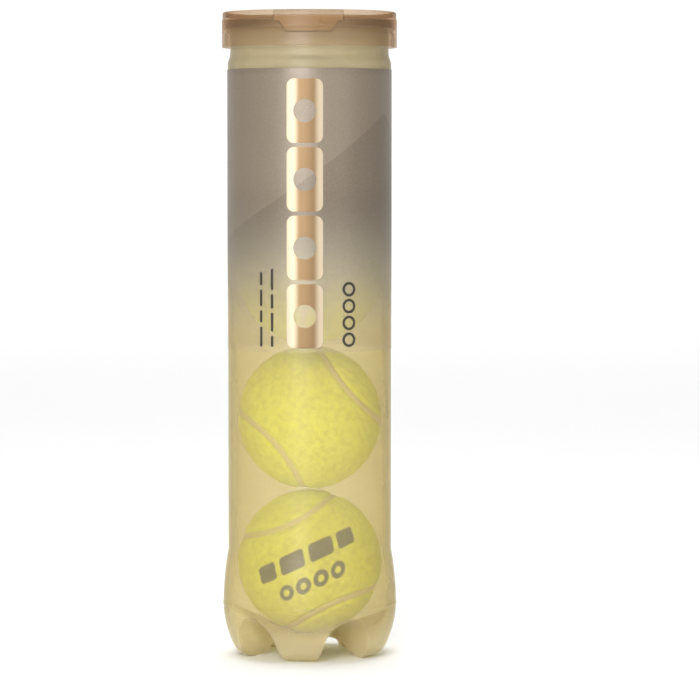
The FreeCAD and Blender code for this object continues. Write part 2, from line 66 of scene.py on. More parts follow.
# --- What a user may change -----------------------------------------------------------------------


def length(name, text, default):
    """A length in metres."""
    return FloatProperty(name=name, description=text, default=default, unit="LENGTH", precision=5)


def colour(name, text, default):
    """A colour, in linear red, green and blue."""
    return FloatVectorProperty(
        name=name, description=text, default=default, subtype="COLOR", size=3, min=0.0, max=1.0
    )


class JarSizes(bpy.types.PropertyGroup):
    """The blow-moulded jar."""

    body_radius: length("Body", "Outer radius of the straight wall", FILM_HIGH.x - 0.3 * MM)
    wall: length("Wall", "Thickness of the plastic", 0.7 * MM)
    neck_radius: length("Neck", "Outer radius of the neck", 36.3 * MM)
    bulge_radius: length("Bulge", "Largest outer radius of the base", 39.85 * MM)
    bulge_height: length("Bulge height", "Height of the base's largest radius", 24.35 * MM)
    bulge_top: length("Bulge top", "Height where the bulge ends", 48.85 * MM)
    heel_height: length("Heel", "Height where a foot's flank meets its heel", 6.05 * MM)
    pad_outer: length("Pad outside", "Outer radius of the feet's flat pads", 29.4 * MM)
    pad_inner: length("Pad inside", "Inner radius of the feet's flat pads", 26.4 * MM)
    lift: length("Lift", "Height of the base's centre", 6.7 * MM)
    flange_radius: length("Flange", "Outer radius of the flange at the mouth", 37.3 * MM)
    haze: colour("Haze", "Colour of the haze in the plastic", (0.59, 0.51, 0.365))
    feet: colour("Feet", "Colour of the haze in the thick feet", (0.78, 0.71, 0.54))
    clear: colour("Clear", "Tint of what shows through one face of the wall", (0.993, 0.962, 0.785))


class LabelSizes(bpy.types.PropertyGroup):
    """The printed film."""

    thick: length("Thickness", "Thickness of the film", 0.25 * MM)
    base: colour("Base", "Colour of the pearly base print", (0.210, 0.168, 0.124))
    wave: colour("Wave", "Colour of the darker wave", (0.166, 0.132, 0.096))
    foil: colour("Foil", "Colour of the gold ornament's middle", (0.20, 0.120, 0.050))
    # The foil's paler sides are a painted highlight across the gold ornament.
    foil_side_highlight: colour("Foil edge", "Colour of the gold ornament's sides", (0.52, 0.43, 0.30))
    foot: colour("Foot", "Colour of the thin print near the lower edge", (0.62, 0.56, 0.43))
    ink: colour("Ink", "Colour of the dark marks", (0.035, 0.028, 0.018))


class LidSizes(bpy.types.PropertyGroup):
    """The overcap."""

    wall: length("Wall", "Thickness of the skirt", 1.15 * MM)
    disc: length("Disc", "Thickness of the top disc", 1.2 * MM)
    thumb: length("Thumb tab", "How far the thumb tab stands out", 0.45 * MM)
    haze: colour("Haze", "Colour of the haze in the bronze plastic", (0.46, 0.32, 0.19))
    tab: colour("Tab", "Colour of the haze in the thumb tab", (0.44, 0.265, 0.125))
    clear: colour("Clear", "Tint of what shows through one face of the wall", (0.895, 0.80, 0.68))


class BallSizes(bpy.types.PropertyGroup):
    """The balls."""

    radius: length("Radius", "Outer radius of the felt", 33.2 * MM)
    core: length("Core", "Outer radius of the rubber core", 30.0 * MM)
    seam_width: length("Seam", "Width of the seam", 3.0 * MM)
    felt: colour("Felt", "Colour of the felt", (0.93, 0.99, 0.055))
    seam: colour("Seam colour", "Colour of the seam", (0.72, 0.66, 0.46))
    print: colour("Print", "Colour of the printed marks", (0.03, 0.035, 0.02))


GROUPS = {"can_jar": JarSizes, "can_label": LabelSizes, "can_lid": LidSizes, "can_balls": BallSizes}


# --- Shapes ---------------------------------------------------------------------------------------


def arc(start, end, radius, side, count):
    """Points of a circular arc from start to end, without its start. side is 1 where the centre lies to
    the left of the way, -1 to the right. The angle runs evenly between the two ends."""
    start, end = np.array(start, float), np.array(end, float)
    chord = end - start
    half = np.linalg.norm(chord) / 2
    normal = np.array([-chord[1], chord[0]]) / (2 * half)
    centre = (start + end) / 2 + normal * side * math.sqrt(max(radius**2 - half**2, 0.0))
    first = math.atan2(*(start - centre)[::-1])
    sweep = 2 * math.asin(min(half / radius, 1.0)) * side
    angles = first + sweep * np.linspace(0, 1, count + 1)[1:]
    return centre + radius * np.stack([np.cos(angles), np.sin(angles)], 1)


def line(start, end, count):
    """Even points of a straight line from start to end, without its start."""
    steps = np.linspace(0, 1, count + 1)[1:, None]
    return np.array(start, float) * (1 - steps) + np.array(end, float) * steps


def path(start, *moves):
    """A profile of radius and height. Each move is (end, count) for a line or
    (end, count, radius, side) for an arc."""
    pieces = [np.array([start], float)]
    for move in moves:
        here = pieces[-1][-1]
        if len(move) == 2:
            pieces.append(line(here, move[0], move[1]))
        else:
            pieces.append(arc(here, move[0], move[2], move[3], move[1]))
    return np.concatenate(pieces)


def lathe(profile, angles):
    """A grid of points: each profile point (radius, height) is carried round +Z through the angles."""
    radius, height = profile[:, 0:1], profile[:, 1:2]
    level = np.broadcast_to(height, (len(profile), len(angles)))
    return np.stack([radius * np.cos(angles), radius * np.sin(angles), level], 2)


def full_turn(count, start=math.pi / 2):
    """Even angles round a circle, from the back by default."""
    return start + np.arange(count) * 2 * math.pi / count


def smoothstep(low, high, value):
    """0 below low, 1 above high, and 3 s^2 - 2 s^3 between them."""
    s = np.clip((value - low) / (high - low), 0, 1)
    return s * s * (3 - 2 * s)


def smooth_max(a, b, width):
    """The larger of two values, with the corner between them rounded off over a width."""
    near = np.maximum(width - np.abs(a - b), 0) / width
    return np.maximum(a, b) + near * near * width / 4


def bell(value, middle, width):
    """1 at the middle, falling off as exp(-s^2), with s the distance from it in widths."""
    return np.exp(-(((value - middle) / width) ** 2))


def waves(points, wavelength, seed, count=26):
    """Gentle unevenness: a sum of sine waves of random directions and phases, near one wavelength."""
    rng = np.random.default_rng(seed)
    ways = rng.normal(size=(count, 3))
    rates = 2 * math.pi / wavelength * rng.uniform(0.6, 1.5, count)
    ways *= (rates / np.linalg.norm(ways, axis=1))[:, None]
    phases = rng.uniform(0, 2 * math.pi, count)
    flat = points.reshape(-1, 3)
    total = np.zeros(len(flat))
    for way, phase in zip(ways, phases):
        total += np.sin(flat @ way + phase)
    return (total / math.sqrt(count / 2)).reshape(points.shape[:-1])


def new_object(name, vertices, faces, uv=None, sharp=40.0):
    """A smooth-shaded mesh object whose edges over the sharp angle stay crisp."""
    mesh = bpy.data.meshes.new(name)
    mesh.from_pydata(vertices.tolist(), [], faces)
    if uv is not None:
        corners = np.zeros(len(mesh.loops), np.int64)
        mesh.loops.foreach_get("vertex_index", corners)
        layer = mesh.uv_layers.new(name="print_map")
        layer.uv.foreach_set("vector", uv[corners].astype(np.float32).ravel())
    mesh.polygons.foreach_set("use_smooth", np.ones(len(mesh.polygons), bool))
    mesh.set_sharp_from_angle(angle=math.radians(sharp))
    mesh.update()
    piece = bpy.data.objects.new(name, mesh)
    bpy.context.scene.collection.objects.link(piece)
    return piece


def grid_faces(rows, columns, wrap_rows=False, wrap_columns=True, first=0):
    """Quads over a grid of points. Outside is to the right of the way up the rows when the columns run
    anticlockwise seen from above."""
    r = np.arange(rows if wrap_rows else rows - 1)[:, None]
    c = np.arange(columns if wrap_columns else columns - 1)[None, :]
    after_r, after_c = (r + 1) % rows, (c + 1) % columns
    here, above = r * columns, after_r * columns
    quads = [here + c, here + after_c, above + after_c, above + c]
    return (np.stack(quads, -1).reshape(-1, 4) + first).tolist()


def skin(grid, start=None, end=None, loop=False, uv=None):
    """Vertices, faces and map of a grid that closes round its columns, with a pole before its first row,
    a pole after its last row, or its last row joined to its first."""
    rows, columns = grid.shape[:2]
    vertices = grid.reshape(-1, 3)
    faces = grid_faces(rows, columns, wrap_rows=loop)
    c = np.arange(columns)
    after = (c + 1) % columns
    maps = None if uv is None else uv.reshape(-1, 2)
    for pole, row in ((start, 0), (end, rows - 1)):
        if pole is None:
            continue
        tip = np.full(columns, len(vertices))
        ring = row * columns
        around = [tip, ring + after, ring + c] if row == 0 else [ring + c, ring + after, tip]
        faces += np.stack(around, 1).tolist()
        vertices = np.vstack([vertices, np.array([pole], float)])
        if maps is not None:
            maps = np.vstack([maps, maps[row * columns : (row + 1) * columns].mean(0)])
    return vertices, faces, maps


def join(*skins):
    """Several closed skins as the vertices and faces of one mesh."""
    vertices, faces, count = [], [], 0
    for points, cells, unused in skins:
        vertices.append(points)
        faces += [[i + count for i in cell] for cell in cells]
        count += len(points)
    return np.vstack(vertices), faces


# --- Finishes -------------------------------------------------------------------------------------


class Finish:
    """A material under construction. Each method adds one node and gives back its output."""

    def __init__(self, name):
        self.material = bpy.data.materials.new(name)
        self.material.use_nodes = True
        self.tree = self.material.node_tree
        self.tree.nodes.clear()
        self.coordinates = self.tree.nodes.new("ShaderNodeTexCoord")

    def node(self, kind, settings=(), **inputs):
        """A node with its settings, its inputs set or linked by name (underscores for spaces)."""
        made = self.tree.nodes.new(kind)
        for key, value in dict(settings).items():
            setattr(made, key, value)
        for key, value in inputs.items():
            socket = made.inputs[int(key[1:])] if key[1:].isdigit() else made.inputs[key.replace("_", " ")]
            if isinstance(value, bpy.types.NodeSocket):
                self.tree.links.new(value, socket)
            else:
                socket.default_value = value
        return made

    def place(self, scale=(1, 1, 1)):
        """Object coordinates in metres, stretched by a scale."""
        spot = self.coordinates.outputs["Object"]
        return self.node("ShaderNodeMapping", Vector=spot, Scale=scale).outputs[0]

    def math(self, operation, a, b=0.0, c=0.0, clamp=False):
        return self.node(
            "ShaderNodeMath", {"operation": operation, "use_clamp": clamp}, i0=a, i1=b, i2=c
        ).outputs[0]

    def add(self, a, b):
        return self.math("ADD", a, b)

    def sub(self, a, b, clamp=False):
        return self.math("SUBTRACT", a, b, clamp=clamp)

    def mul(self, a, b):
        return self.math("MULTIPLY", a, b)

    def mul_add(self, a, b, c, clamp=False):
        """a times b, plus c."""
        return self.math("MULTIPLY_ADD", a, b, c, clamp)

    def power(self, a, b):
        return self.math("POWER", a, b)

    def size(self, a):
        """A number without its sign."""
        return self.math("ABSOLUTE", a)

    def larger(self, a, b):
        return self.math("MAXIMUM", a, b)

    def height(self):
        """Height over the floor, in metres."""
        spot = self.coordinates.outputs["Object"]
        return self.node("ShaderNodeSeparateXYZ", Vector=spot).outputs[2]

    def print_map(self):
        """The piece's own map, in metres across and up."""
        split = self.node("ShaderNodeSeparateXYZ", Vector=self.coordinates.outputs["UV"])
        return split.outputs[0], split.outputs[1]

    def ramp(self, value, low, high, bottom=0.0, top=1.0):
        """The value carried smoothly from [low, high] to [bottom, top]."""
        return self.node(
            "ShaderNodeMapRange",
            {"interpolation_type": "SMOOTHSTEP"},
            Value=value,
            From_Min=low,
            From_Max=high,
            To_Min=bottom,
            To_Max=top,
        ).outputs[0]

    def mix(self, factor, a, b):
        """A blend of two colours."""
        made = self.tree.nodes.new("ShaderNodeMix")
        made.data_type = "RGBA"
        sockets = [s for s in made.inputs if s.type == "RGBA"]
        for socket, value in zip([made.inputs[0], *sockets], (factor, a, b)):
            if isinstance(value, bpy.types.NodeSocket):
                self.tree.links.new(value, socket)
            else:
                socket.default_value = (*value, 1.0) if isinstance(value, tuple) else value
        return next(s for s in made.outputs if s.type == "RGBA")

    def noise(self, scale, detail=3.0, rough=0.5, stretch=(1, 1, 1)):
        """Fractal noise, as a number about 0.5."""
        return self.node(
            "ShaderNodeTexNoise",
            Vector=self.place(stretch),
            Scale=scale,
            Detail=detail,
            Roughness=rough,
        ).outputs["Fac"]

    def bump(self, height, distance, strength=1.0, under=None):
        made = self.node("ShaderNodeBump", Height=height, Distance=distance, Strength=strength)
        if under is not None:
            self.tree.links.new(under, made.inputs["Normal"])
        return made.outputs[0]

    def plastic(self, **inputs):
        return self.node("ShaderNodeBsdfPrincipled", **inputs).outputs[0]

    def blend(self, factor, a, b):
        """A blend of two shaders."""
        return self.node("ShaderNodeMixShader", i0=factor, i1=a, i2=b).outputs[0]

    def done(self, shader):
        self.node("ShaderNodeOutputMaterial", Surface=shader)
        return self.material

    # Flat shapes on a map of two numbers, across and up, each 1 inside and 0 outside.

    def box(self, x, y, centre, half, corner, soft):
        """A rectangle with round corners, from its signed distance."""
        dx = self.sub(self.size(self.sub(x, centre[0])), half[0] - corner)
        dy = self.sub(self.size(self.sub(y, centre[1])), half[1] - corner)
        out_x, out_y = self.larger(dx, 0.0), self.larger(dy, 0.0)
        outside = self.math("SQRT", self.mul_add(out_x, out_x, self.mul(out_y, out_y)))
        inside = self.math("MINIMUM", self.larger(dx, dy), 0.0)
        far = self.sub(self.add(outside, inside), corner)
        return self.ramp(far, -soft, soft, 1.0, 0.0)

    def ring(self, x, y, centre, radius, half_line, soft):
        """A circle's line. A half line as large as the radius gives a disc."""
        dx, dy = self.sub(x, centre[0]), self.sub(y, centre[1])
        reach = self.math("SQRT", self.mul_add(dx, dx, self.mul(dy, dy)))
        far = self.sub(self.size(self.sub(reach, radius)), half_line)
        return self.ramp(far, -soft, soft, 1.0, 0.0)

    def any_of(self, shapes):
        """The union of several shapes."""
        total = shapes[0]
        for shape in shapes[1:]:
            total = self.larger(total, shape)
        return total


def facing_away(finish):
    """0 where a surface faces the eye and 1 where it is edge on, the same from both of its sides."""
    return finish.node("ShaderNodeLayerWeight", Blend=0.5).outputs["Facing"]


def see_through(finish, solid, clear, slanted, tint, rough, shape):
    """A thin hazy plastic: the share given by solid is the lit haze, part of it glowing with the light
    behind, and the rest shows what is behind, tinted more where the wall is seen at a slant. A soft
    gloss lies on top and strengthens towards the edges."""
    facing = facing_away(finish)
    filter_tint = finish.mix(finish.mul(facing, facing), clear, slanted)
    through = finish.node("ShaderNodeBsdfTransparent", Color=filter_tint).outputs[0]
    body = finish.plastic(Base_Color=tint, Roughness=0.7, Normal=shape, Specular_IOR_Level=0.0)
    shone = finish.node("ShaderNodeBsdfTranslucent", Color=tint).outputs[0]
    inside = finish.blend(solid, through, finish.blend(0.35, body, shone))
    gloss = finish.node("ShaderNodeBsdfGlossy", Color=(1, 1, 1, 1), Roughness=rough, Normal=shape)
    shine = finish.mul_add(finish.power(facing, 5.0), 0.24, 0.012)
    return finish.blend(shine, inside, gloss.outputs[0])


def jar_finish():
    """Amber bottle plastic: hazier where it turns away, at the neck and in the feet, cloudy, with fine
    vertical draw lines."""
    f = Finish("jar_plastic")
    sizes = bpy.context.scene.can_jar
    cloud = f.noise(38.0, 4.0, 0.55)
    draw = f.noise(90.0, 2.0, 0.5, stretch=(1, 1, 0.06))
    up = f.height()
    neck = f.ramp(up, 262.0 * MM, 272.0 * MM, 0.0, 0.25)
    low = f.ramp(up, 3.0 * MM, 24.0 * MM, 1.0, 0.0)
    ends = f.mul_add(low, 0.18, neck)
    solid = f.mul_add(f.power(facing_away(f), 3.0), 0.5, ends)
    solid = f.add(solid, f.mul_add(cloud, 0.04, 0.235))
    tint = f.mix(cloud, tuple(sizes.haze), tuple(c * 0.92 for c in sizes.haze))
    tint = f.mix(low, tint, tuple(sizes.feet))
    rough = f.ramp(cloud, 0.3, 0.7, 0.26, 0.36)
    shape = f.bump(draw, 0.00025, 0.35, f.bump(cloud, 0.0006, 0.3))
    slanted = tuple(c * c for c in sizes.clear)
    return f.done(see_through(f, solid, tuple(sizes.clear), slanted, tint, rough, shape))


def label_finish():
    """Pearly film with a fading foot, a darker wave, a gold foil ornament whose paler sides are a painted
    highlight, and small dark marks.
    """
    f = Finish("label_print")
    sizes = bpy.context.scene.can_label
    across, up = f.print_map()
    round_length = 2 * math.pi * FILM_HIGH.x

    # The wave's edge: a crest right of the front that falls away on both sides, once round the can.
    crest_across, crest_up, fall = 42.0 * MM, 248.85 * MM, 60.0 * MM
    phase = f.mul(f.sub(across, crest_across), math.pi / round_length)
    drop = f.power(f.size(f.math("SINE", phase)), 1.15)
    edge = f.mul_add(drop, -fall, crest_up)
    front = f.ramp(f.size(across), 60.0 * MM, 85.0 * MM, 1.0, 0.0)
    in_wave = f.mul(front, f.ramp(f.sub(edge, up), -0.12 * MM, 0.12 * MM))
    pearl = f.noise(1500.0, 2.0, 0.6)
    broad = f.noise(26.0, 3.0, 0.5)
    base = f.mix(in_wave, tuple(sizes.base), tuple(sizes.wave))
    base = f.mix(f.ramp(pearl, 0.35, 0.75, 0.0, 0.07), base, (0.62, 0.54, 0.42))
    base = f.mix(f.ramp(broad, 0.3, 0.7, 0.0, 0.08), base, (0.2, 0.16, 0.11))

    # The print turns pale and fades out towards the film's foot, in fine speckles.
    foot = FILM_LOW.z
    base = f.mix(f.ramp(up, foot + 6 * MM, foot + 72 * MM, 1.0, 0.0), base, tuple(sizes.foot))
    cover = f.ramp(up, foot + 2 * MM, foot + 84 * MM, 0.12, 0.97)
    thin = f.mul(f.mul(cover, f.sub(1.0, cover)), 3.0)
    speckle = f.sub(f.noise(9000.0, 1.0, 0.5), 0.5)
    cover = f.mul_add(speckle, thin, cover, clamp=True)

    # The gold ornament: four upright blocks, each with a round window, like balls in a tube.
    soft = 0.12 * MM
    middle, half_width = -1.75 * MM, 8.3 * MM
    block, gap, corner, window = 28.9 * MM, 1.9 * MM, 3.4 * MM, 2.6 * MM
    blocks, windows = [], []
    for i in range(4):
        centre = (middle, foot + gap + block / 2 + i * (block + gap))
        blocks.append(f.box(across, up, centre, (half_width, block / 2), corner, soft))
        windows.append(f.ring(across, up, centre, window, window, soft))
    foil = f.sub(f.any_of(blocks), f.any_of(windows), clamp=True)
    # The ornament is paler towards its sides than in its middle: a painted highlight across the foil.
    from_middle = f.sub(across, middle + 0.8 * MM)
    side = f.size(f.math("DIVIDE", from_middle, half_width))
    gold = f.mix(f.ramp(side, 0.35, 0.78), tuple(sizes.foil), tuple(sizes.foil_side_highlight))

    # Dark marks: two thin columns of dashes and one column of four rings.
    marks = []
    for column, lengths in ((-23.0, (9.0, 5.5, 7.5, 6.0)), (-17.2, (5.0, 8.5, 6.5, 9.5))):
        start = foot + 2.4 * MM
        for size in lengths:
            centre = (column * MM, start + size * MM / 2)
            marks.append(f.box(across, up, centre, (0.62 * MM, size * MM / 2), 0.5 * MM, soft))
            start += (size + 1.9) * MM
    for i in range(4):
        centre = (19.0 * MM, foot + 5.6 * MM + i * 7.6 * MM)
        marks.append(f.ring(across, up, centre, 2.7 * MM, 0.6 * MM, soft))
    ink = f.any_of(marks)

    tone = f.mix(ink, f.mix(foil, base, gold), tuple(sizes.ink))
    solid = f.larger(f.larger(cover, ink), f.mul(foil, 0.97))
    rough = f.mul_add(broad, 0.14, 0.34)
    metal = f.mul_add(foil, 0.25, 0.2)
    relief = f.bump(f.add(foil, ink), 0.00002, 0.6, f.bump(broad, 0.0005, 0.12))
    body = f.plastic(Base_Color=tone, Roughness=rough, Metallic=metal, Normal=relief)
    clear = f.node("ShaderNodeBsdfTransparent", Color=(1.0, 0.985, 0.95, 1.0)).outputs[0]
    return f.done(f.blend(solid, clear, body))


def lid_finish():
    """Bronze moulded plastic: cloudy, hazier where it turns away, deeper at the rim and clearer low on the
    skirt. The thumb tab is golden, with painted shade as a dark line round its edges."""
    f = Finish("lid_plastic")
    sizes = bpy.context.scene.can_lid
    cloud = f.noise(60.0, 4.0, 0.6)
    grain = f.noise(1800.0, 2.0, 0.6)
    cloudy = f.mul_add(cloud, 0.06, 0.14)
    thumb = f.node("ShaderNodeAttribute", {"attribute_name": "thumb_tab"}).outputs["Fac"]
    # The dark line round the thumb tab's edges is painted shade: the plastic is made more solid and darker
    # there.
    outline = f.mul(f.mul(thumb, f.sub(1.0, thumb)), 4.0)
    solid = f.mul_add(f.power(facing_away(f), 4.0), 0.5, cloudy)
    solid = f.mul_add(thumb, 0.3, solid)
    solid = f.mul_add(outline, 0.35, solid, clamp=True)
    tint = f.mix(cloud, tuple(sizes.haze), tuple(c * 0.86 for c in sizes.haze))
    tint = f.mix(thumb, tint, tuple(sizes.tab))
    tint = f.mix(outline, tint, tuple(c * 0.3 for c in sizes.haze))
    rough = f.ramp(cloud, 0.3, 0.7, 0.28, 0.4)
    shape = f.bump(grain, 0.00004, 0.35, f.bump(cloud, 0.0004, 0.25))
    up = f.height()
    rim = f.ramp(up, LID_HIGH.z - 3.2 * MM, LID_HIGH.z - 1.6 * MM)
    tint = f.mix(rim, tint, tuple(c * 0.6 for c in sizes.haze))
    skirt = f.ramp(up, LID_LOW.z + 6 * MM, LID_LOW.z + 10 * MM)
    clear = f.mix(skirt, tuple(c**0.2 for c in sizes.clear), tuple(sizes.clear))
    slanted = f.mix(skirt, tuple(c**1.6 for c in sizes.clear), tuple(c**3 for c in sizes.clear))
    return f.done(see_through(f, solid, clear, slanted, tint, rough, shape))


def metal_finish(name, stretch, low=(0.56, 0.56, 0.57), high=(0.78, 0.78, 0.78), dull=0.2):
    """Rolled aluminium: fine lines along the sheet, smudges and tiny scuffs."""
    f = Finish(name)
    lines = f.noise(2600.0, 3.0, 0.65, stretch=stretch)
    smudge = f.noise(55.0, 4.0, 0.6)
    scuff = f.ramp(f.noise(420.0, 5.0, 0.7), 0.62, 0.72)
    tone = f.mix(f.ramp(lines, 0.3, 0.7), low, high)
    rough = f.add(f.ramp(smudge, 0.3, 0.7, dull, dull + 0.16), f.mul(scuff, 0.2))
    shape = f.bump(lines, 0.00003, 0.4, f.bump(scuff, 0.00004, 0.25))
    return f.done(f.plastic(Base_Color=tone, Metallic=1.0, Roughness=rough, Normal=shape))


def rubber_finish(name, low, high):
    """Moulded rubber or sealing compound: matt, mottled and slightly pitted."""
    f = Finish(name)
    mottle = f.noise(240.0, 5.0, 0.6)
    pits = f.noise(1400.0, 3.0, 0.6)
    tone = f.mix(f.ramp(mottle, 0.3, 0.7), low, high)
    rough = f.ramp(mottle, 0.3, 0.7, 0.6, 0.85)
    shape = f.bump(pits, 0.0001, 0.5, f.bump(mottle, 0.0003, 0.4))
    return f.done(f.plastic(Base_Color=tone, Roughness=rough, Normal=shape))


def felt_finish(name, printed):
    """Fluffy felt: matted fibres at two scales, with painted shade that makes the hollows deeper and
    greener and a painted highlight that makes the raised fibres paler. An optional print of plain bars and
    rings has its edges broken by the fibres."""
    f = Finish(name)
    sizes = bpy.context.scene.can_balls
    fibre = f.noise(1500.0, 6.0, 0.68)
    tuft = f.noise(420.0, 5.0, 0.6)
    patch = f.noise(60.0, 3.0, 0.5)
    felt = tuple(sizes.felt)
    # Painted shade darkens the felt in the hollows between the tufts, and a painted highlight makes the
    # raised fibres paler.
    hollow_shade = (felt[0] * 0.70, felt[1] * 0.74, felt[2] * 0.75)
    pale = (min(felt[0] * 1.12, 1.0), min(felt[1] * 1.06, 1.0), felt[2] * 2.6)
    tone = f.mix(f.ramp(tuft, 0.30, 0.62), hollow_shade, felt)
    tone = f.mix(f.ramp(fibre, 0.50, 0.75, 0.0, 0.75), tone, pale)
    tone = f.mix(f.ramp(patch, 0.35, 0.7, 0.0, 0.12), tone, (felt[0] * 0.85, felt[1], felt[2]))
    if printed:
        across, up = f.print_map()
        stir = f.mul_add(fibre, 0.9 * MM, -0.45 * MM)
        across, up = f.add(across, stir), f.add(up, stir)
        lean = f.mul_add(up, -0.24, across)
        soft = 0.45 * MM
        shapes = []
        for middle, half in ((-21.4, 5.0), (-7.6, 6.2), (7.4, 6.2), (21.0, 5.0)):
            centre = (middle * MM, 5.0 * MM)
            shapes.append(f.box(lean, up, centre, (half * MM, 4.1 * MM), 1.6 * MM, soft))
        for middle in (-13.5, -4.5, 4.5, 13.5):
            centre = (middle * MM, -7.4 * MM)
            shapes.append(f.ring(lean, up, centre, 2.7 * MM, 1.15 * MM, soft))
        worn = f.ramp(fibre, 0.30, 0.42, 0.55, 1.0)
        ink = f.mul(f.any_of(shapes), worn)
        tone = f.mix(ink, tone, tuple(sizes.print))
    height = f.mul_add(fibre, 0.45, f.mul(tuft, 0.8))
    shape = f.bump(height, 0.0011, 0.85)
    return f.done(
        f.plastic(
            Base_Color=tone,
            Roughness=0.95,
            Normal=shape,
            Specular_IOR_Level=0.15,
            Sheen_Weight=0.45,
            Sheen_Roughness=0.55,
            Sheen_Tint=(0.93, 1.0, 0.55, 1.0),
        )
    )


def seam_finish():
    """Cream adhesive line: smooth matt rubber with small ripples and a little felt dust."""
    f = Finish("ball_seam_line")
    sizes = bpy.context.scene.can_balls
    ripple = f.noise(700.0, 3.0, 0.55)
    dust = f.ramp(f.noise(1700.0, 4.0, 0.7), 0.55, 0.7, 0.0, 0.5)
    tone = f.mix(dust, tuple(sizes.seam), (0.74, 0.80, 0.22))
    rough = f.ramp(ripple, 0.3, 0.7, 0.55, 0.75)
    return f.done(f.plastic(Base_Color=tone, Roughness=rough, Normal=f.bump(ripple, 0.00025, 0.5)))


def stage_finish():
    """Pale matt paper with a barely visible tooth."""
    f = Finish("stage_paper")
    tooth = f.noise(300.0, 3.0, 0.5)
    tone = f.mix(tooth, (0.90, 0.90, 0.90), (0.93, 0.93, 0.93))
    return f.done(f.plastic(Base_Color=tone, Roughness=0.9, Normal=f.bump(tooth, 0.0001, 0.1)))


def coat(piece, *materials):
    """Give a piece its materials, in slot order."""
    piece.data.materials.clear()
    for material in materials:
        piece.data.materials.append(material)


# --- The jar --------------------------------------------------------------------------------------

FOOT_COUNT = 5
FOOT_TURN = math.radians(7.0)
VALLEY_SLOPE = math.radians(4.0)
VALLEY_RISE = math.radians(17.4)
VALLEY_ROUND = 11.6 * MM
FLANK_CURVE = 45.0 * MM
HEEL_CURVE = 9.5 * MM
BULGE_CURVE = 140.0 * MM
SHOULDER = (271.05 * MM, 276.85 * MM, 7.3 * MM)


def valley_height(grid, inset):
    """The roof of the nearest of the base's five valleys over each point. It rises outwards along the
    valley; across it, it is a round arch on steep walls, measured at right angles to the roof."""
    radius = np.hypot(grid[..., 0], grid[..., 1])
    angle = np.arctan2(grid[..., 1], grid[..., 0])
    step = 2 * math.pi / FOOT_COUNT
    first = -math.pi / 2 - FOOT_TURN + step / 2
    off = (angle - first + step / 2) % step - step / 2
    along, across = radius * np.cos(off), np.abs(radius * np.sin(off))
    arch = VALLEY_ROUND + inset
    shoulder = arch * math.cos(VALLEY_SLOPE)
    round_drop = arch - np.sqrt(np.maximum(arch**2 - np.minimum(across, shoulder) ** 2, 0))
    wall_drop = np.maximum(across - shoulder, 0) / math.tan(VALLEY_SLOPE)
    upright = bpy.context.scene.can_jar.lift + inset - round_drop - wall_drop
    return upright / math.cos(VALLEY_RISE) + along * math.tan(VALLEY_RISE)


def jar_profile(inset, fine):
    """Half of the jar's section, from the middle of the base up to the neck's top, moved in by inset."""
    s = bpy.context.scene.can_jar
    lean = math.asin((s.bulge_height - s.heel_height) / FLANK_CURVE)
    heel = (
        s.bulge_radius - FLANK_CURVE * (1 - math.cos(lean)) - inset * math.cos(lean),
        s.heel_height + inset * math.sin(lean),
    )
    middle = ((s.body_radius + s.neck_radius) / 2 - inset, (SHOULDER[0] + SHOULDER[1]) / 2)
    return path(
        (0.6 * MM, s.lift + inset - 0.6 * MM * s.lift / s.pad_inner),
        ((s.pad_inner, inset), 32 if fine else 18),
        ((s.pad_outer - inset * 0.6, inset), 3),
        (heel, 14 if fine else 7, HEEL_CURVE - inset, 1),
        ((s.bulge_radius - inset, s.bulge_height), 66 if fine else 22, FLANK_CURVE - inset, 1),
        ((s.body_radius - inset, s.bulge_top), 26 if fine else 12, BULGE_CURVE - inset, 1),
        ((s.body_radius - inset, SHOULDER[0]), 8 if fine else 4),
        (middle, 6, SHOULDER[2] - inset, 1),
        ((s.neck_radius - inset, SHOULDER[1]), 6, SHOULDER[2] + inset, -1),
        ((s.neck_radius - inset, NECK_HIGH.z - 0.9 * MM), 6 if fine else 3),
    )


def jar_grid(profile, angles, inset):
    """The profile carried round, with the valleys pressed up into its underside."""
    grid = lathe(profile, angles)
    valleys = valley_height(grid, inset)
    reach = grid[..., 2] < bpy.context.scene.can_jar.bulge_height
    raised = smooth_max(grid[..., 2], valleys, (2.2 if inset == 0 else 1.2) * MM)
    grid[..., 2] = np.where(reach, raised, grid[..., 2])
    return grid


def build_jar():
    """The jar as one closed skin: outside up to the flange, round the mouth, and down the inside."""
    s = bpy.context.scene.can_jar
    angles = full_turn(360)
    outside = jar_profile(0.0, True)
    ridge_height, ridge_width, ridge_rise = 24.0 * MM, 0.38 * MM, 0.23 * MM
    outside[:, 0] += ridge_rise * bell(outside[:, 1], ridge_height, ridge_width)
    outer = jar_grid(outside, angles, 0.0)
    hook = 0.2 * MM
    mouth = path(
        (s.neck_radius + hook, NECK_HIGH.z - 0.7 * MM),
        ((s.flange_radius - hook, NECK_HIGH.z - 0.7 * MM), 2),
        ((s.flange_radius, NECK_HIGH.z - 0.5 * MM), 3, hook, 1),
        ((s.flange_radius, NECK_HIGH.z - hook), 1),
        ((s.flange_radius - hook, NECK_HIGH.z), 3, hook, 1),
        ((s.neck_radius - s.wall + hook, NECK_HIGH.z), 2),
        ((s.neck_radius - s.wall, NECK_HIGH.z - hook), 3, hook, 1),
    )
    inner = jar_grid(jar_profile(s.wall, False), angles, s.wall)[::-1]
    grid = np.concatenate([outer, lathe(mouth, angles), inner])
    low = (0, 0, float(outer[0, :, 2].mean()))
    high = (0, 0, float(inner[-1, :, 2].mean()))
    vertices, faces, unused = skin(grid, start=low, end=high)
    piece = new_object("jar", vertices, faces, sharp=50.0)
    coat(piece, jar_finish())
    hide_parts("jar_base", "jar_wall", "jar_neck")
    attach(piece, "can")


# --- The label ------------------------------------------------------------------------------------


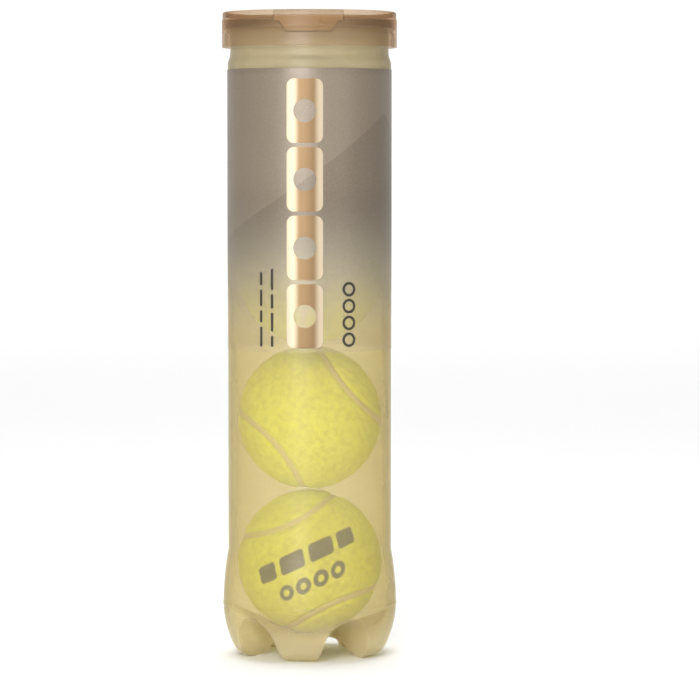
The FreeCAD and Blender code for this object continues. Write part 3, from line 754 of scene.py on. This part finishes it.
def build_label():
    """The film: a thin sleeve with soft edges whose ends overlap at the back, mapped in metres across
    from the front and up from the floor."""
    s = bpy.context.scene.can_label
    columns = 384
    angles = full_turn(columns)
    inner = -FILM_LOW.x - 0.28 * MM
    outer = inner + s.thick
    round_edge = 0.1 * MM
    low, high = FILM_LOW.z, FILM_HIGH.z
    profile = path(
        (inner, low + round_edge),
        ((inner + round_edge, low), 2, round_edge, 1),
        ((outer - round_edge, low), 1),
        ((outer, low + round_edge), 2, round_edge, 1),
        ((outer, high - round_edge), 40),
        ((outer - round_edge, high), 2, round_edge, 1),
        ((inner + round_edge, high), 1),
        ((inner, high - round_edge), 2, round_edge, 1),
    )
    grid = lathe(profile, angles)
    across = ((angles + math.pi / 2 + math.pi) % (2 * math.pi) - math.pi) * FILM_HIGH.x
    from_end = (angles - angles[0]) * FILM_HIGH.x
    overlap = smoothstep(0.0, 0.35 * MM, from_end)
    overlap *= 1 - smoothstep(7.0 * MM, 7.6 * MM, from_end)
    outside = (np.hypot(grid[..., 0], grid[..., 1]) > inner + s.thick / 2)[..., None]
    swell = 1 + outside * (overlap * 0.16 * MM / outer)[None, :, None]
    grid[..., :2] *= swell
    uv = np.stack([np.broadcast_to(across, grid.shape[:2]), grid[..., 2]], 2)
    vertices, faces, maps = skin(grid, loop=True, uv=uv)
    piece = new_object("label", vertices, faces, uv=maps)
    coat(piece, label_finish())
    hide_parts("label_sleeve")
    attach(piece, "can")


# --- The aluminium end ----------------------------------------------------------------------------

RIVET_Y = -20.0 * MM


def build_end_ring():
    """The double seam and countersink: a rolled sheet's section, closed, carried round."""
    thick = 0.3 * MM
    seam = SEAM_HIGH.x
    top, low = SEAM_HIGH.z, SEAM_LOW.z
    wall, sink, lip = 35.45 * MM, 34.1 * MM, 33.75 * MM
    hook, foot = 36.5 * MM, 287.75 * MM
    roll, bend = 0.9 * MM, 0.35 * MM
    panel = PANEL_LOW.z
    outside = path(
        (hook, foot + thick),
        ((hook, foot), 1),
        ((seam - bend, foot), 3),
        ((seam, foot + bend), 4, bend, 1),
        ((seam - 0.05 * MM, (foot + top) / 2), 4),
        ((seam, top - roll), 4),
        ((seam - roll, top), 8, roll, 1),
        ((wall - thick + roll, top), 3),
        ((wall - thick, top - roll), 8, roll, 1),
        ((wall - thick, low + thick + bend), 10),
        ((wall - thick - bend, low + thick), 4, bend, -1),
        ((sink + thick, low + thick + bend * 0.5), 4, bend, -1),
        ((sink + thick, panel + thick - 0.1 * MM), 4),
        ((sink + thick - 0.1 * MM, panel + thick), 2, 0.1 * MM, 1),
        ((lip, panel + thick), 2),
        ((lip, panel), 1),
        ((sink, panel), 2),
        ((sink, low + bend), 4),
        ((sink + bend, low), 4, bend, 1),
        ((wall - bend, low), 2),
        ((wall, low + bend), 4, bend, 1),
        ((wall, top - roll), 10),
        ((seam - thick, top - roll), 3),
        ((seam - thick, foot + thick), 4),
    )
    vertices, faces, unused = skin(lathe(outside, full_turn(200)), loop=True)
    piece = new_object("end_seam", vertices, faces, sharp=50.0)
    greys = (0.28, 0.28, 0.28), (0.42, 0.42, 0.42)
    coat(piece, metal_finish("end_ring_metal", (1, 1, 0.05), *greys, dull=0.42))
    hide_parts("end_ring")
    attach(piece, "can")


def panel_rise(radius, angle):
    """Height of the panel's sheet over its flat: a stiffening bead, a hollow under the finger ring, a
    ridge at the back and a fine scored line near the rim."""
    x, y = radius * np.cos(angle), radius * np.sin(angle)
    bead = bell(radius, 27.0 * MM, 1.1 * MM) * 0.6 * MM
    hollow = np.exp(-(((x / (6.0 * MM)) ** 2 + ((y + 2.5 * MM) / (4.0 * MM)) ** 2) ** 2)) * -0.28 * MM
    score = bell(radius, 32.7 * MM, 0.22 * MM) * -0.12 * MM
    back = bell(radius, 15.0 * MM, 0.8 * MM) * smoothstep(0.15, 0.45, np.sin(angle)) * 0.35 * MM
    return bead + hollow + score + back


def build_end_panel():
    """The tear-off panel: a pressed disc, its under side a sheet's thickness below, and the rivet."""
    rim, thick = PANEL_HIGH.x, 0.3 * MM
    angles = full_turn(220)
    middle_radii, rim_radii = np.linspace(1 * MM, 22 * MM, 44), np.linspace(22.3 * MM, rim, 60)
    radii = np.concatenate([[0.4 * MM], middle_radii, rim_radii])
    under = np.stack([radii, np.full_like(radii, PANEL_LOW.z)], 1)
    grid = lathe(np.concatenate([under, under[::-1]]), angles)
    reach = np.hypot(grid[..., 0], grid[..., 1])
    rise = panel_rise(reach, np.arctan2(grid[..., 1], grid[..., 0]))
    rise[: len(radii)] = np.maximum(rise[: len(radii)], 0.0)
    rise[len(radii) :] = np.maximum(rise[len(radii) :], 0.03 * MM - thick * 0.9)
    grid[..., 2] += rise
    grid[len(radii) :, :, 2] += thick
    sheet = skin(grid, start=(0, 0, PANEL_LOW.z), end=(0, 0, PANEL_LOW.z + thick + rise[-1].mean()))
    top = PANEL_HIGH.z
    flat = PANEL_LOW.z + thick
    button = path(
        (0.1 * MM, flat - 0.05 * MM),
        ((2.3 * MM, flat - 0.05 * MM), 2),
        ((1.9 * MM, flat + 0.5 * MM), 4),
        ((2.25 * MM, flat + 1.15 * MM), 3),
        ((1.85 * MM, top - 0.02 * MM), 4, 0.6 * MM, 1),
        ((0.9 * MM, top), 2),
        ((0.5 * MM, top - 0.12 * MM), 2),
        ((0.1 * MM, top - 0.15 * MM), 1),
    )
    around = lathe(button, full_turn(40))
    shift = np.array([0, RIVET_Y, 0])
    rivet = skin(around + shift, start=button_pole(button[0], shift), end=button_pole(button[-1], shift))
    vertices, faces = join(sheet, rivet)
    piece = new_object("tear_off_panel", vertices, faces, sharp=50.0)
    coat(piece, metal_finish("panel_metal", (1, 0.05, 1)))
    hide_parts("end_panel")
    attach(piece, "end_panel")


def button_pole(profile_point, shift):
    """The point on the axis at a profile point's height."""
    return (shift[0], shift[1], profile_point[1])


def drop_reach(centre, angles):
    """How far the ring-pull's outline lies from a point, at each angle. The outline is that of two
    circles with their common tangents, and the distance is found by halving."""
    ring_radius, nose_radius = 8.95 * MM, 5.2 * MM
    ring_y = TAB_HIGH.y - ring_radius - 0.02 * MM
    nose_y = TAB_LOW.y + nose_radius + 0.02 * MM
    span = ring_y - nose_y
    lean = (ring_radius - nose_radius) / span
    near, far = np.zeros_like(angles), np.full_like(angles, 40 * MM)
    for unused in range(40):
        half = (near + far) / 2
        x = np.abs(centre[0] + half * np.cos(angles))
        y = ring_y - (centre[1] + half * np.sin(angles))
        side = math.sqrt(1 - lean**2)
        k = -x * lean + y * side
        ring = np.hypot(x, y) - ring_radius
        nose = np.hypot(x, y - span) - nose_radius
        flank = x * side + y * lean - ring_radius
        distance = np.where(k < 0, ring, np.where(k > side * span, nose, flank))
        near, far = np.where(distance < 0, half, near), np.where(distance < 0, far, half)
    return near


def washer(hole_centre, hole_radius, outer, low, high, curl):
    """A plate round a hole: its section is a flat web with a fat rounded rim at the outline and another
    round the hole, carried round the hole."""
    angles = full_turn(len(outer))
    middle = (low + high) / 2
    half = (high - low) / 2
    turn = np.linspace(-math.pi / 2, math.pi / 2, 9)
    web = half * 0.45
    inner = np.full_like(outer, hole_radius)
    inner_curl = curl * 0.8
    web_ends = [outer - 2.0 * curl, inner + 2.0 * inner_curl]
    rows = [(outer - curl * (1 - np.cos(t)), middle + half * np.sin(t)) for t in turn]
    rows += [(reach, middle + web) for reach in web_ends]
    rows += [(inner + inner_curl * (1 - np.cos(t)), middle + half * np.sin(t)) for t in turn[::-1]]
    rows += [(reach, middle - web) for reach in web_ends[::-1]]
    grid = np.array(
        [
            [
                hole_centre[0] + reach * np.cos(angles),
                hole_centre[1] + reach * np.sin(angles),
                np.full_like(outer, level),
            ]
            for reach, level in rows
        ]
    ).transpose(0, 2, 1)
    return skin(grid, loop=True)


def build_pull_tab():
    """The ring-pull: two curled washers that meet between the finger hole and the rivet hole."""
    angles = full_turn(120)
    finger = (0.0, TAB_HIGH.y - 9.0 * MM)
    rivet = (0.0, RIVET_Y)
    finger_hole, rivet_hole, curl = 6.2 * MM, 3.0 * MM, 0.55 * MM
    border = (finger[1] - finger_hole + rivet[1] + rivet_hole) / 2
    low, high = TAB_LOW.z, TAB_HIGH.z
    plates = []
    for centre, hole, sign in ((finger, finger_hole, -1), (rivet, rivet_hole, 1)):
        outer = drop_reach(centre, angles)
        towards = np.sin(angles) * sign
        cut = (abs(centre[1] - border) + 0.25 * MM) / np.maximum(towards, 1e-6)
        outer = np.where(towards > 0, np.minimum(outer, cut), outer)
        plates.append(washer(centre, hole, outer, low, high, curl))
    vertices, faces = join(*plates)
    piece = new_object("ring_pull", vertices, faces, sharp=60.0)
    greys = (0.62, 0.62, 0.62), (0.82, 0.82, 0.82)
    coat(piece, metal_finish("tab_metal", (0.05, 1, 1), *greys))
    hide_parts("pull_tab")
    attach(piece, "pull_tab")


# --- The overcap ----------------------------------------------------------------------------------


def thumb_shape(across, up, soft=0.22 * MM):
    """1 on the thumb tab and 0 off it, with soft steps: a wide block over a wedge that narrows down."""
    low, turn, high = LID_LOW.z + 6.15 * MM, LID_LOW.z + 11.05 * MM, LID_HIGH.z - 0.5 * MM
    wedge = 10.25 * MM + 3.5 * MM * np.clip((up - low) / (turn - low), 0, 1)
    half = np.where(up > turn, 16.0 * MM, wedge)
    sides = 1 - smoothstep(-soft, soft, np.abs(across) - half)
    return sides * smoothstep(low - soft, low + soft, up) * (1 - smoothstep(high - soft, high + soft, up))


def build_lid():
    """The overcap as one closed skin: from the middle of its underside out, down the inside of the
    skirt, up the outside with the thumb tab, over the rim and in across the recessed disc."""
    s = bpy.context.scene.can_lid
    skirt, rim = 40.1 * MM, 39.8 * MM
    inner = skirt - s.wall
    low, high = LID_LOW.z, LID_HIGH.z
    under = high - 3.5 * MM
    disc = under + s.disc
    rim_in = rim - s.wall - 0.15 * MM
    bead = 38.3 * MM
    step = high - 3.2 * MM
    front = np.linspace(-0.47, 0.47, 150)
    sides = np.linspace(0.47, 2 * math.pi - 0.47, 172)[1:-1]
    angles = np.concatenate([sides[85:], front + 2 * math.pi, sides[:85] + 2 * math.pi]) - math.pi / 2
    profile = path(
        (0.5 * MM, under),
        ((inner - 0.6 * MM, under), 20),
        ((inner, under - 0.6 * MM), 4, 0.6 * MM, -1),
        ((inner, low + 8.25 * MM), 4),
        ((bead, low + 7.65 * MM), 3),
        ((bead, low + 6.85 * MM), 2),
        ((inner, low + 6.25 * MM), 3),
        ((inner, low + 0.25 * MM), 6),
        ((inner + 0.25 * MM, low), 3, 0.25 * MM, -1),
        ((skirt - 0.3 * MM, low), 2),
        ((skirt, low + 0.3 * MM), 4, 0.3 * MM, 1),
        ((skirt, low + 5.7 * MM), 10),
        ((skirt, step - 0.5 * MM), 40),
        ((rim, step), 4),
        ((rim, high - 0.8 * MM), 16),
        ((rim - 0.8 * MM, high), 6, 0.8 * MM, 1),
        ((rim_in + 0.3 * MM, high), 2),
        ((rim_in, high - 0.3 * MM), 3, 0.3 * MM, 1),
        ((rim_in, disc + 0.5 * MM), 3),
        ((rim_in - 0.5 * MM, disc), 4, 0.5 * MM, -1),
        ((34.0 * MM, disc), 6),
        ((33.4 * MM, disc - 0.25 * MM), 2),
        ((31.0 * MM, disc - 0.25 * MM), 3),
        ((30.4 * MM, disc), 2),
        ((3.2 * MM, disc), 14),
        ((2.8 * MM, disc - 0.2 * MM), 2),
        ((1.4 * MM, disc - 0.2 * MM), 2),
        ((0.9 * MM, disc + 0.15 * MM), 2),
        ((0.5 * MM, disc + 0.15 * MM), 1),
    )
    grid = lathe(profile, angles)
    across = (angles + math.pi / 2) % (2 * math.pi)
    across = np.where(across > math.pi, across - 2 * math.pi, across) * skirt
    outside = (profile[:, 0] > skirt - 0.95 * MM) & (profile[:, 1] > low + 1 * MM)
    reach = np.hypot(grid[..., 0], grid[..., 1])
    level = grid[..., 2]
    tab = thumb_shape(across[None, :], level) * outside[:, None]
    wanted = skirt + s.thumb * (0.55 + 0.45 * smoothstep(high - 1.0 * MM, low + 7.45 * MM, level))
    pushed = reach + (np.maximum(wanted - reach, 0)) * tab
    groove = bell(level, low + 8.55 * MM, 0.2 * MM) * 0.10 * MM
    pushed -= groove * outside[:, None] * (1 - tab)
    grid[..., :2] *= (pushed / reach)[..., None]
    vertices, faces, unused = skin(grid, start=(0, 0, under), end=(0, 0, disc + 0.15 * MM))
    piece = new_object("overcap", vertices, faces, sharp=50.0)
    patch = thumb_shape(across[None, :], level, 0.5 * MM) * outside[:, None]
    layer = piece.data.attributes.new("thumb_tab", "FLOAT", "POINT")
    layer.data.foreach_set("value", np.append(patch.ravel(), [0.0, 0.0]).astype(np.float32))
    coat(piece, lid_finish())
    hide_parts("lid")
    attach(piece, "lid")


# --- The balls ------------------------------------------------------------------------------------

WAIST = math.radians(39.8)
# Each ball's turns: lean of the panel's long axis, turn about the can's axis and tilt of the waist, in
# degrees, then the panel that carries the print.
BALL_TURNS = {
    "ball_1": (25.0, 0.0, 2.0, "a"),
    "ball_2": (-50.0, 3.0, 3.0, "b"),
    "ball_3": (35.0, 140.0, 10.0, "a"),
    "ball_4": (-70.0, 70.0, -25.0, "a"),
}


def ball_turn(name):
    """The rotation of a ball, whose first waist, local +Z, faces the front at no turn."""
    lean, turn, tilt, unused = BALL_TURNS[name]
    steps = ((turn, "Z"), (-tilt, "X"), (-lean, "Y"), (90.0, "X"), (45.0, "Z"))
    total = Matrix.Identity(3)
    for angle, axis in steps:
        total = total @ Matrix.Rotation(math.radians(angle), 3, axis)
    return np.array(total)


def ball_centre(name):
    """The middle of a ball: that of its core's two halves together."""
    low_a, high_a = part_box(f"{name}_core_lower")
    low_b, high_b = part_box(f"{name}_core_upper")
    low = np.minimum(np.array(low_a), np.array(low_b))
    high = np.maximum(np.array(high_a), np.array(high_b))
    return (low + high) / 2


def seam_line(angles):
    """The seam's middle line on a unit sphere and the way across it: the point is (a cos t + b cos 3t,
    a sin t - b sin 3t, 2 sqrt(ab) sin 2t) with a + b = 1, which stays on the sphere."""
    a = (1 + math.sin(WAIST)) / 2
    b = 1 - a
    c = 2 * math.sqrt(a * b)
    t = angles
    sin1, cos1, sin3, cos3 = np.sin(t), np.cos(t), np.sin(3 * t), np.cos(3 * t)
    point = np.stack([a * cos1 + b * cos3, a * sin1 - b * sin3, c * np.sin(2 * t)], 1)
    slope = [-a * sin1 - 3 * b * sin3, a * cos1 - 3 * b * cos3, 2 * c * np.cos(2 * t)]
    along = np.stack(slope, 1)
    across = np.cross(point, along)
    return point, across / np.linalg.norm(across, axis=1)[:, None]


def felt_rays(columns, rows):
    """Directions over the first felt panel: from its middle at local +Z, along great circles, to its
    edge. Also each direction's distance along the ball from that edge."""
    s = bpy.context.scene.can_balls
    angles = np.arange(columns) * 2 * math.pi / columns
    point, across = seam_line(angles)
    reach = (s.seam_width / 2 - 0.25 * MM) / s.radius
    edge = point * math.cos(reach) - across * math.sin(reach)
    if edge[columns // 8, 2] < point[columns // 8, 2]:
        edge = point * math.cos(reach) + across * math.sin(reach)
    polar = np.arccos(np.clip(edge[:, 2], -1, 1))
    level = edge[:, :2] / np.linalg.norm(edge[:, :2], axis=1)[:, None]
    share = np.concatenate([np.linspace(0.008, 0.95, rows - 12), np.linspace(0.955, 1.0, 12)])
    swing = share[:, None] * polar[None, :]
    rays = np.stack([np.sin(swing) * level[:, 0], np.sin(swing) * level[:, 1], np.cos(swing)], 2)
    dense, side = seam_line(np.arange(720) * 2 * math.pi / 720)
    turned = np.sign(((edge - point) * across).sum(1)).mean()
    border = dense * math.cos(reach) + side * (turned * math.sin(reach))
    nearest = (rays.reshape(-1, 3).astype(np.float32) @ border.T.astype(np.float32)).max(1)
    gap = np.arccos(np.clip(nearest, -1, 1)).reshape(rays.shape[:2]) * s.radius
    return rays, gap, swing, level


def build_felt(name, panel, rays, gap, swing, level, finishes):
    """One felt panel: a fluffy outer face that rolls down at its edge, and a plain inner face."""
    s = bpy.context.scene.can_balls
    seed = BALLS.index(name) * 2 + (panel == "b")
    flip = np.diag([1.0, -1.0, -1.0]) if panel == "b" else np.eye(3)
    turn = ball_turn(name) @ flip
    roll = 1 - smoothstep(0.0, 2.4 * MM, gap)
    outer = s.radius - 0.28 * MM - roll * 1.05 * MM
    ball = rays * s.radius
    fluff = waves(ball, 1.7 * MM, seed) * 0.055 * MM + waves(ball, 6.0 * MM, seed + 50) * 0.05 * MM
    outer = np.minimum(outer + fluff * (1 - 0.5 * roll), s.radius)
    face = rays * outer[..., None]
    floor = s.core + 0.05 * MM
    inside = rays[[-1, -30, -60, 20, 0]] * floor
    grid = np.concatenate([face, inside])
    middle = np.array([0, 0, 1.0])
    vertices, faces, unused = skin(grid, start=middle * outer[0].mean(), end=middle * floor)
    faces = [face[::-1] for face in faces]
    long_axis, cross_axis = np.array([1, -1]) / math.sqrt(2), np.array([1, 1]) / math.sqrt(2)
    flat = level[None, :, :] * swing[..., None] * s.radius
    outer_map = np.stack([flat @ long_axis, flat @ cross_axis], 2)
    off_print = 0.09
    far = np.full((5 * len(level), 2), off_print)
    maps = np.vstack([outer_map.reshape(-1, 2), far, [[0, 0]], [[off_print, off_print]]])
    placed = vertices @ turn.T + ball_centre(name)
    piece = new_object(f"{name}_felt_{panel}_cover", placed, faces, uv=maps, sharp=70.0)
    coat(piece, finishes[BALL_TURNS[name][3] == panel])
    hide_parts(f"{name}_felt_{panel}")
    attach(piece, name)


def build_seam(name, finish):
    """The seam: a low rounded bead that follows the seam's line, closed underneath."""
    s = bpy.context.scene.can_balls
    point, across = seam_line(np.arange(420) * 2 * math.pi / 420)
    half = s.seam_width / 2 / s.radius
    offsets = np.concatenate([np.linspace(-half, half, 11), np.linspace(half, -half, 4)])
    crown = s.radius - 0.82 * MM - 0.28 * MM * np.linspace(-1, 1, 11) ** 2
    heights = np.concatenate([crown, np.full(4, s.core + 0.05 * MM)])
    cosine, sine = np.cos(offsets)[None, :, None], np.sin(offsets)[None, :, None]
    grid = (point[:, None, :] * cosine + across[:, None, :] * sine) * heights[None, :, None]
    ripple = waves(grid[:, :11], 3.0 * MM, 90 + BALLS.index(name)) * 0.03 * MM
    grid[:, :11] *= 1 + (ripple / s.radius)[..., None]
    vertices, faces, unused = skin(grid, loop=True)
    placed = vertices @ ball_turn(name).T + ball_centre(name)
    piece = new_object(f"{name}_seam_line", placed, faces, sharp=70.0)
    coat(piece, finish)
    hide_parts(f"{name}_seam")
    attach(piece, name)


def build_balls():
    """The covers of the four balls, and the finish of the cores inside them."""
    rays, gap, swing, level = felt_rays(324, 112)
    finishes = {True: felt_finish("felt_printed", True), False: felt_finish("felt_plain", False)}
    seam = seam_finish()
    rubber = rubber_finish("core_rubber", (0.02, 0.02, 0.02), (0.05, 0.048, 0.045))
    for name in BALLS:
        for panel in ("a", "b"):
            build_felt(name, panel, rays, gap, swing, level, finishes)
        build_seam(name, seam)
        for half in ("core_lower", "core_upper"):
            coat(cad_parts[f"{name}_{half}"], rubber)


# --- The stage ------------------------------------------------------------------------------------


def aim(thing, target):
    """Turn a lamp or a camera so that it looks at a point."""
    way = Vector(target) - thing.location
    thing.rotation_euler = way.to_track_quat("-Z", "Y").to_euler()


def lamp(name, place, target, size, power):
    """A soft rectangular white lamp."""
    light = bpy.data.lights.new(name, "AREA")
    light.shape = "RECTANGLE"
    light.size, light.size_y = size
    light.energy = power
    holder = bpy.data.objects.new(name, light)
    holder.location = place
    bpy.context.scene.collection.objects.link(holder)
    aim(holder, target)


def build_stage():
    """A wide pale paper sweep, soft lamps, a dim white surround and the camera. The sweep's wall is far
    enough back that it never comes between the can and an eye behind it."""
    front, back, side, rise, bend = -9.0, 7.0, 13.1, 11.4, 3.06
    wall = ((back - bend, 0.0), 6), ((back, bend), 16, bend, 1), ((back, rise), 6)
    profile = path((front, 0.0), *wall)
    xs = np.linspace(-side, side, 5)
    grid = np.array([[(x, y, z) for x in xs] for y, z in profile])
    faces = grid_faces(*grid.shape[:2], wrap_columns=False)
    sweep = new_object("paper_sweep", grid.reshape(-1, 3), faces)
    coat(sweep, stage_finish())

    heart = (0.0, 0.0, 0.15)
    lamp("key_softbox", (-0.34, -1.45, 0.62), heart, (0.7, 1.1), 25.0)
    lamp("fill_softbox", (1.0, -1.1, 0.5), heart, (0.8, 1.2), 4.0)
    lamp("top_softbox", (0.0, -0.1, 1.5), heart, (1.2, 1.2), 9.0)
    lamp("sweep_lamp", (0.0, 3.06, 8.3), (0.0, 7.0, 2.2), (9.6, 3.5), 710.0)

    world = bpy.data.worlds.new("studio")
    bpy.context.scene.world = world
    world.use_nodes = True
    sky = world.node_tree.nodes["Background"]
    sky.inputs["Color"].default_value = (1, 1, 1, 1)
    sky.inputs["Strength"].default_value = 0.08

    scene = bpy.context.scene
    scene.view_settings.view_transform = "Standard"
    camera = bpy.data.objects.new("camera", bpy.data.cameras.new("camera"))
    camera.data.lens = 184.4
    camera.data.sensor_width = 36.0
    camera.data.clip_end = 50.0
    camera.location = (0.0186, -1.65, 0.22685)
    camera.rotation_euler = (math.radians(90.0 - 3.0), 0.0, 0.0)
    scene.collection.objects.link(camera)
    scene.camera = camera


# --- Operators, panel and registration ------------------------------------------------------------


class CAN_OT_jar(bpy.types.Operator):
    """Build the clear jar with its petaloid base"""

    bl_idname = "can.jar"
    bl_label = "Jar"

    def execute(self, context):
        build_jar()
        return {"FINISHED"}


class CAN_OT_label(bpy.types.Operator):
    """Build the printed film"""

    bl_idname = "can.label"
    bl_label = "Label"

    def execute(self, context):
        build_label()
        return {"FINISHED"}


class CAN_OT_end(bpy.types.Operator):
    """Build the aluminium end: seam, tear-off panel, ring-pull and sealing compound"""

    bl_idname = "can.end"
    bl_label = "Aluminium end"

    def execute(self, context):
        build_end_ring()
        build_end_panel()
        build_pull_tab()
        compound = rubber_finish("sealing_compound", (0.30, 0.26, 0.19), (0.40, 0.35, 0.27))
        coat(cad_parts["seam_compound"], compound)
        return {"FINISHED"}


class CAN_OT_lid(bpy.types.Operator):
    """Build the overcap with its thumb tab"""

    bl_idname = "can.lid"
    bl_label = "Lid"

    def execute(self, context):
        build_lid()
        return {"FINISHED"}


class CAN_OT_balls(bpy.types.Operator):
    """Build the felt and the seams of the four balls"""

    bl_idname = "can.balls"
    bl_label = "Balls"

    def execute(self, context):
        build_balls()
        return {"FINISHED"}


class CAN_OT_stage(bpy.types.Operator):
    """Build the paper sweep, the lamps and the camera"""

    bl_idname = "can.stage"
    bl_label = "Stage"

    def execute(self, context):
        build_stage()
        return {"FINISHED"}


OPERATORS = (CAN_OT_jar, CAN_OT_label, CAN_OT_end, CAN_OT_lid, CAN_OT_balls, CAN_OT_stage)


class CAN_PT_panel(bpy.types.Panel):
    """Lists the can's sizes and the operators that build it"""

    bl_label = "Tennis Ball Can"
    bl_space_type = "VIEW_3D"
    bl_region_type = "UI"
    bl_category = "Ball Can"

    def draw(self, context):
        for name in GROUPS:
            group = getattr(context.scene, name)
            box = self.layout.box()
            for key in group.__annotations__:
                box.prop(group, key)
        for operator in OPERATORS:
            self.layout.operator(operator.bl_idname)


def register():
    for cls in (*GROUPS.values(), *OPERATORS, CAN_PT_panel):
        bpy.utils.register_class(cls)
    for name, group in GROUPS.items():
        setattr(bpy.types.Scene, name, PointerProperty(type=group))


def unregister():
    for name in GROUPS:
        delattr(bpy.types.Scene, name)
    for cls in reversed((*GROUPS.values(), *OPERATORS, CAN_PT_panel)):
        bpy.utils.unregister_class(cls)


def main():
    """Register the add-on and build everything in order."""
    register()
    bpy.ops.can.stage()
    bpy.ops.can.balls()
    bpy.ops.can.jar()
    bpy.ops.can.label()
    bpy.ops.can.end()
    bpy.ops.can.lid()


if __name__ == "__main__":
    main()
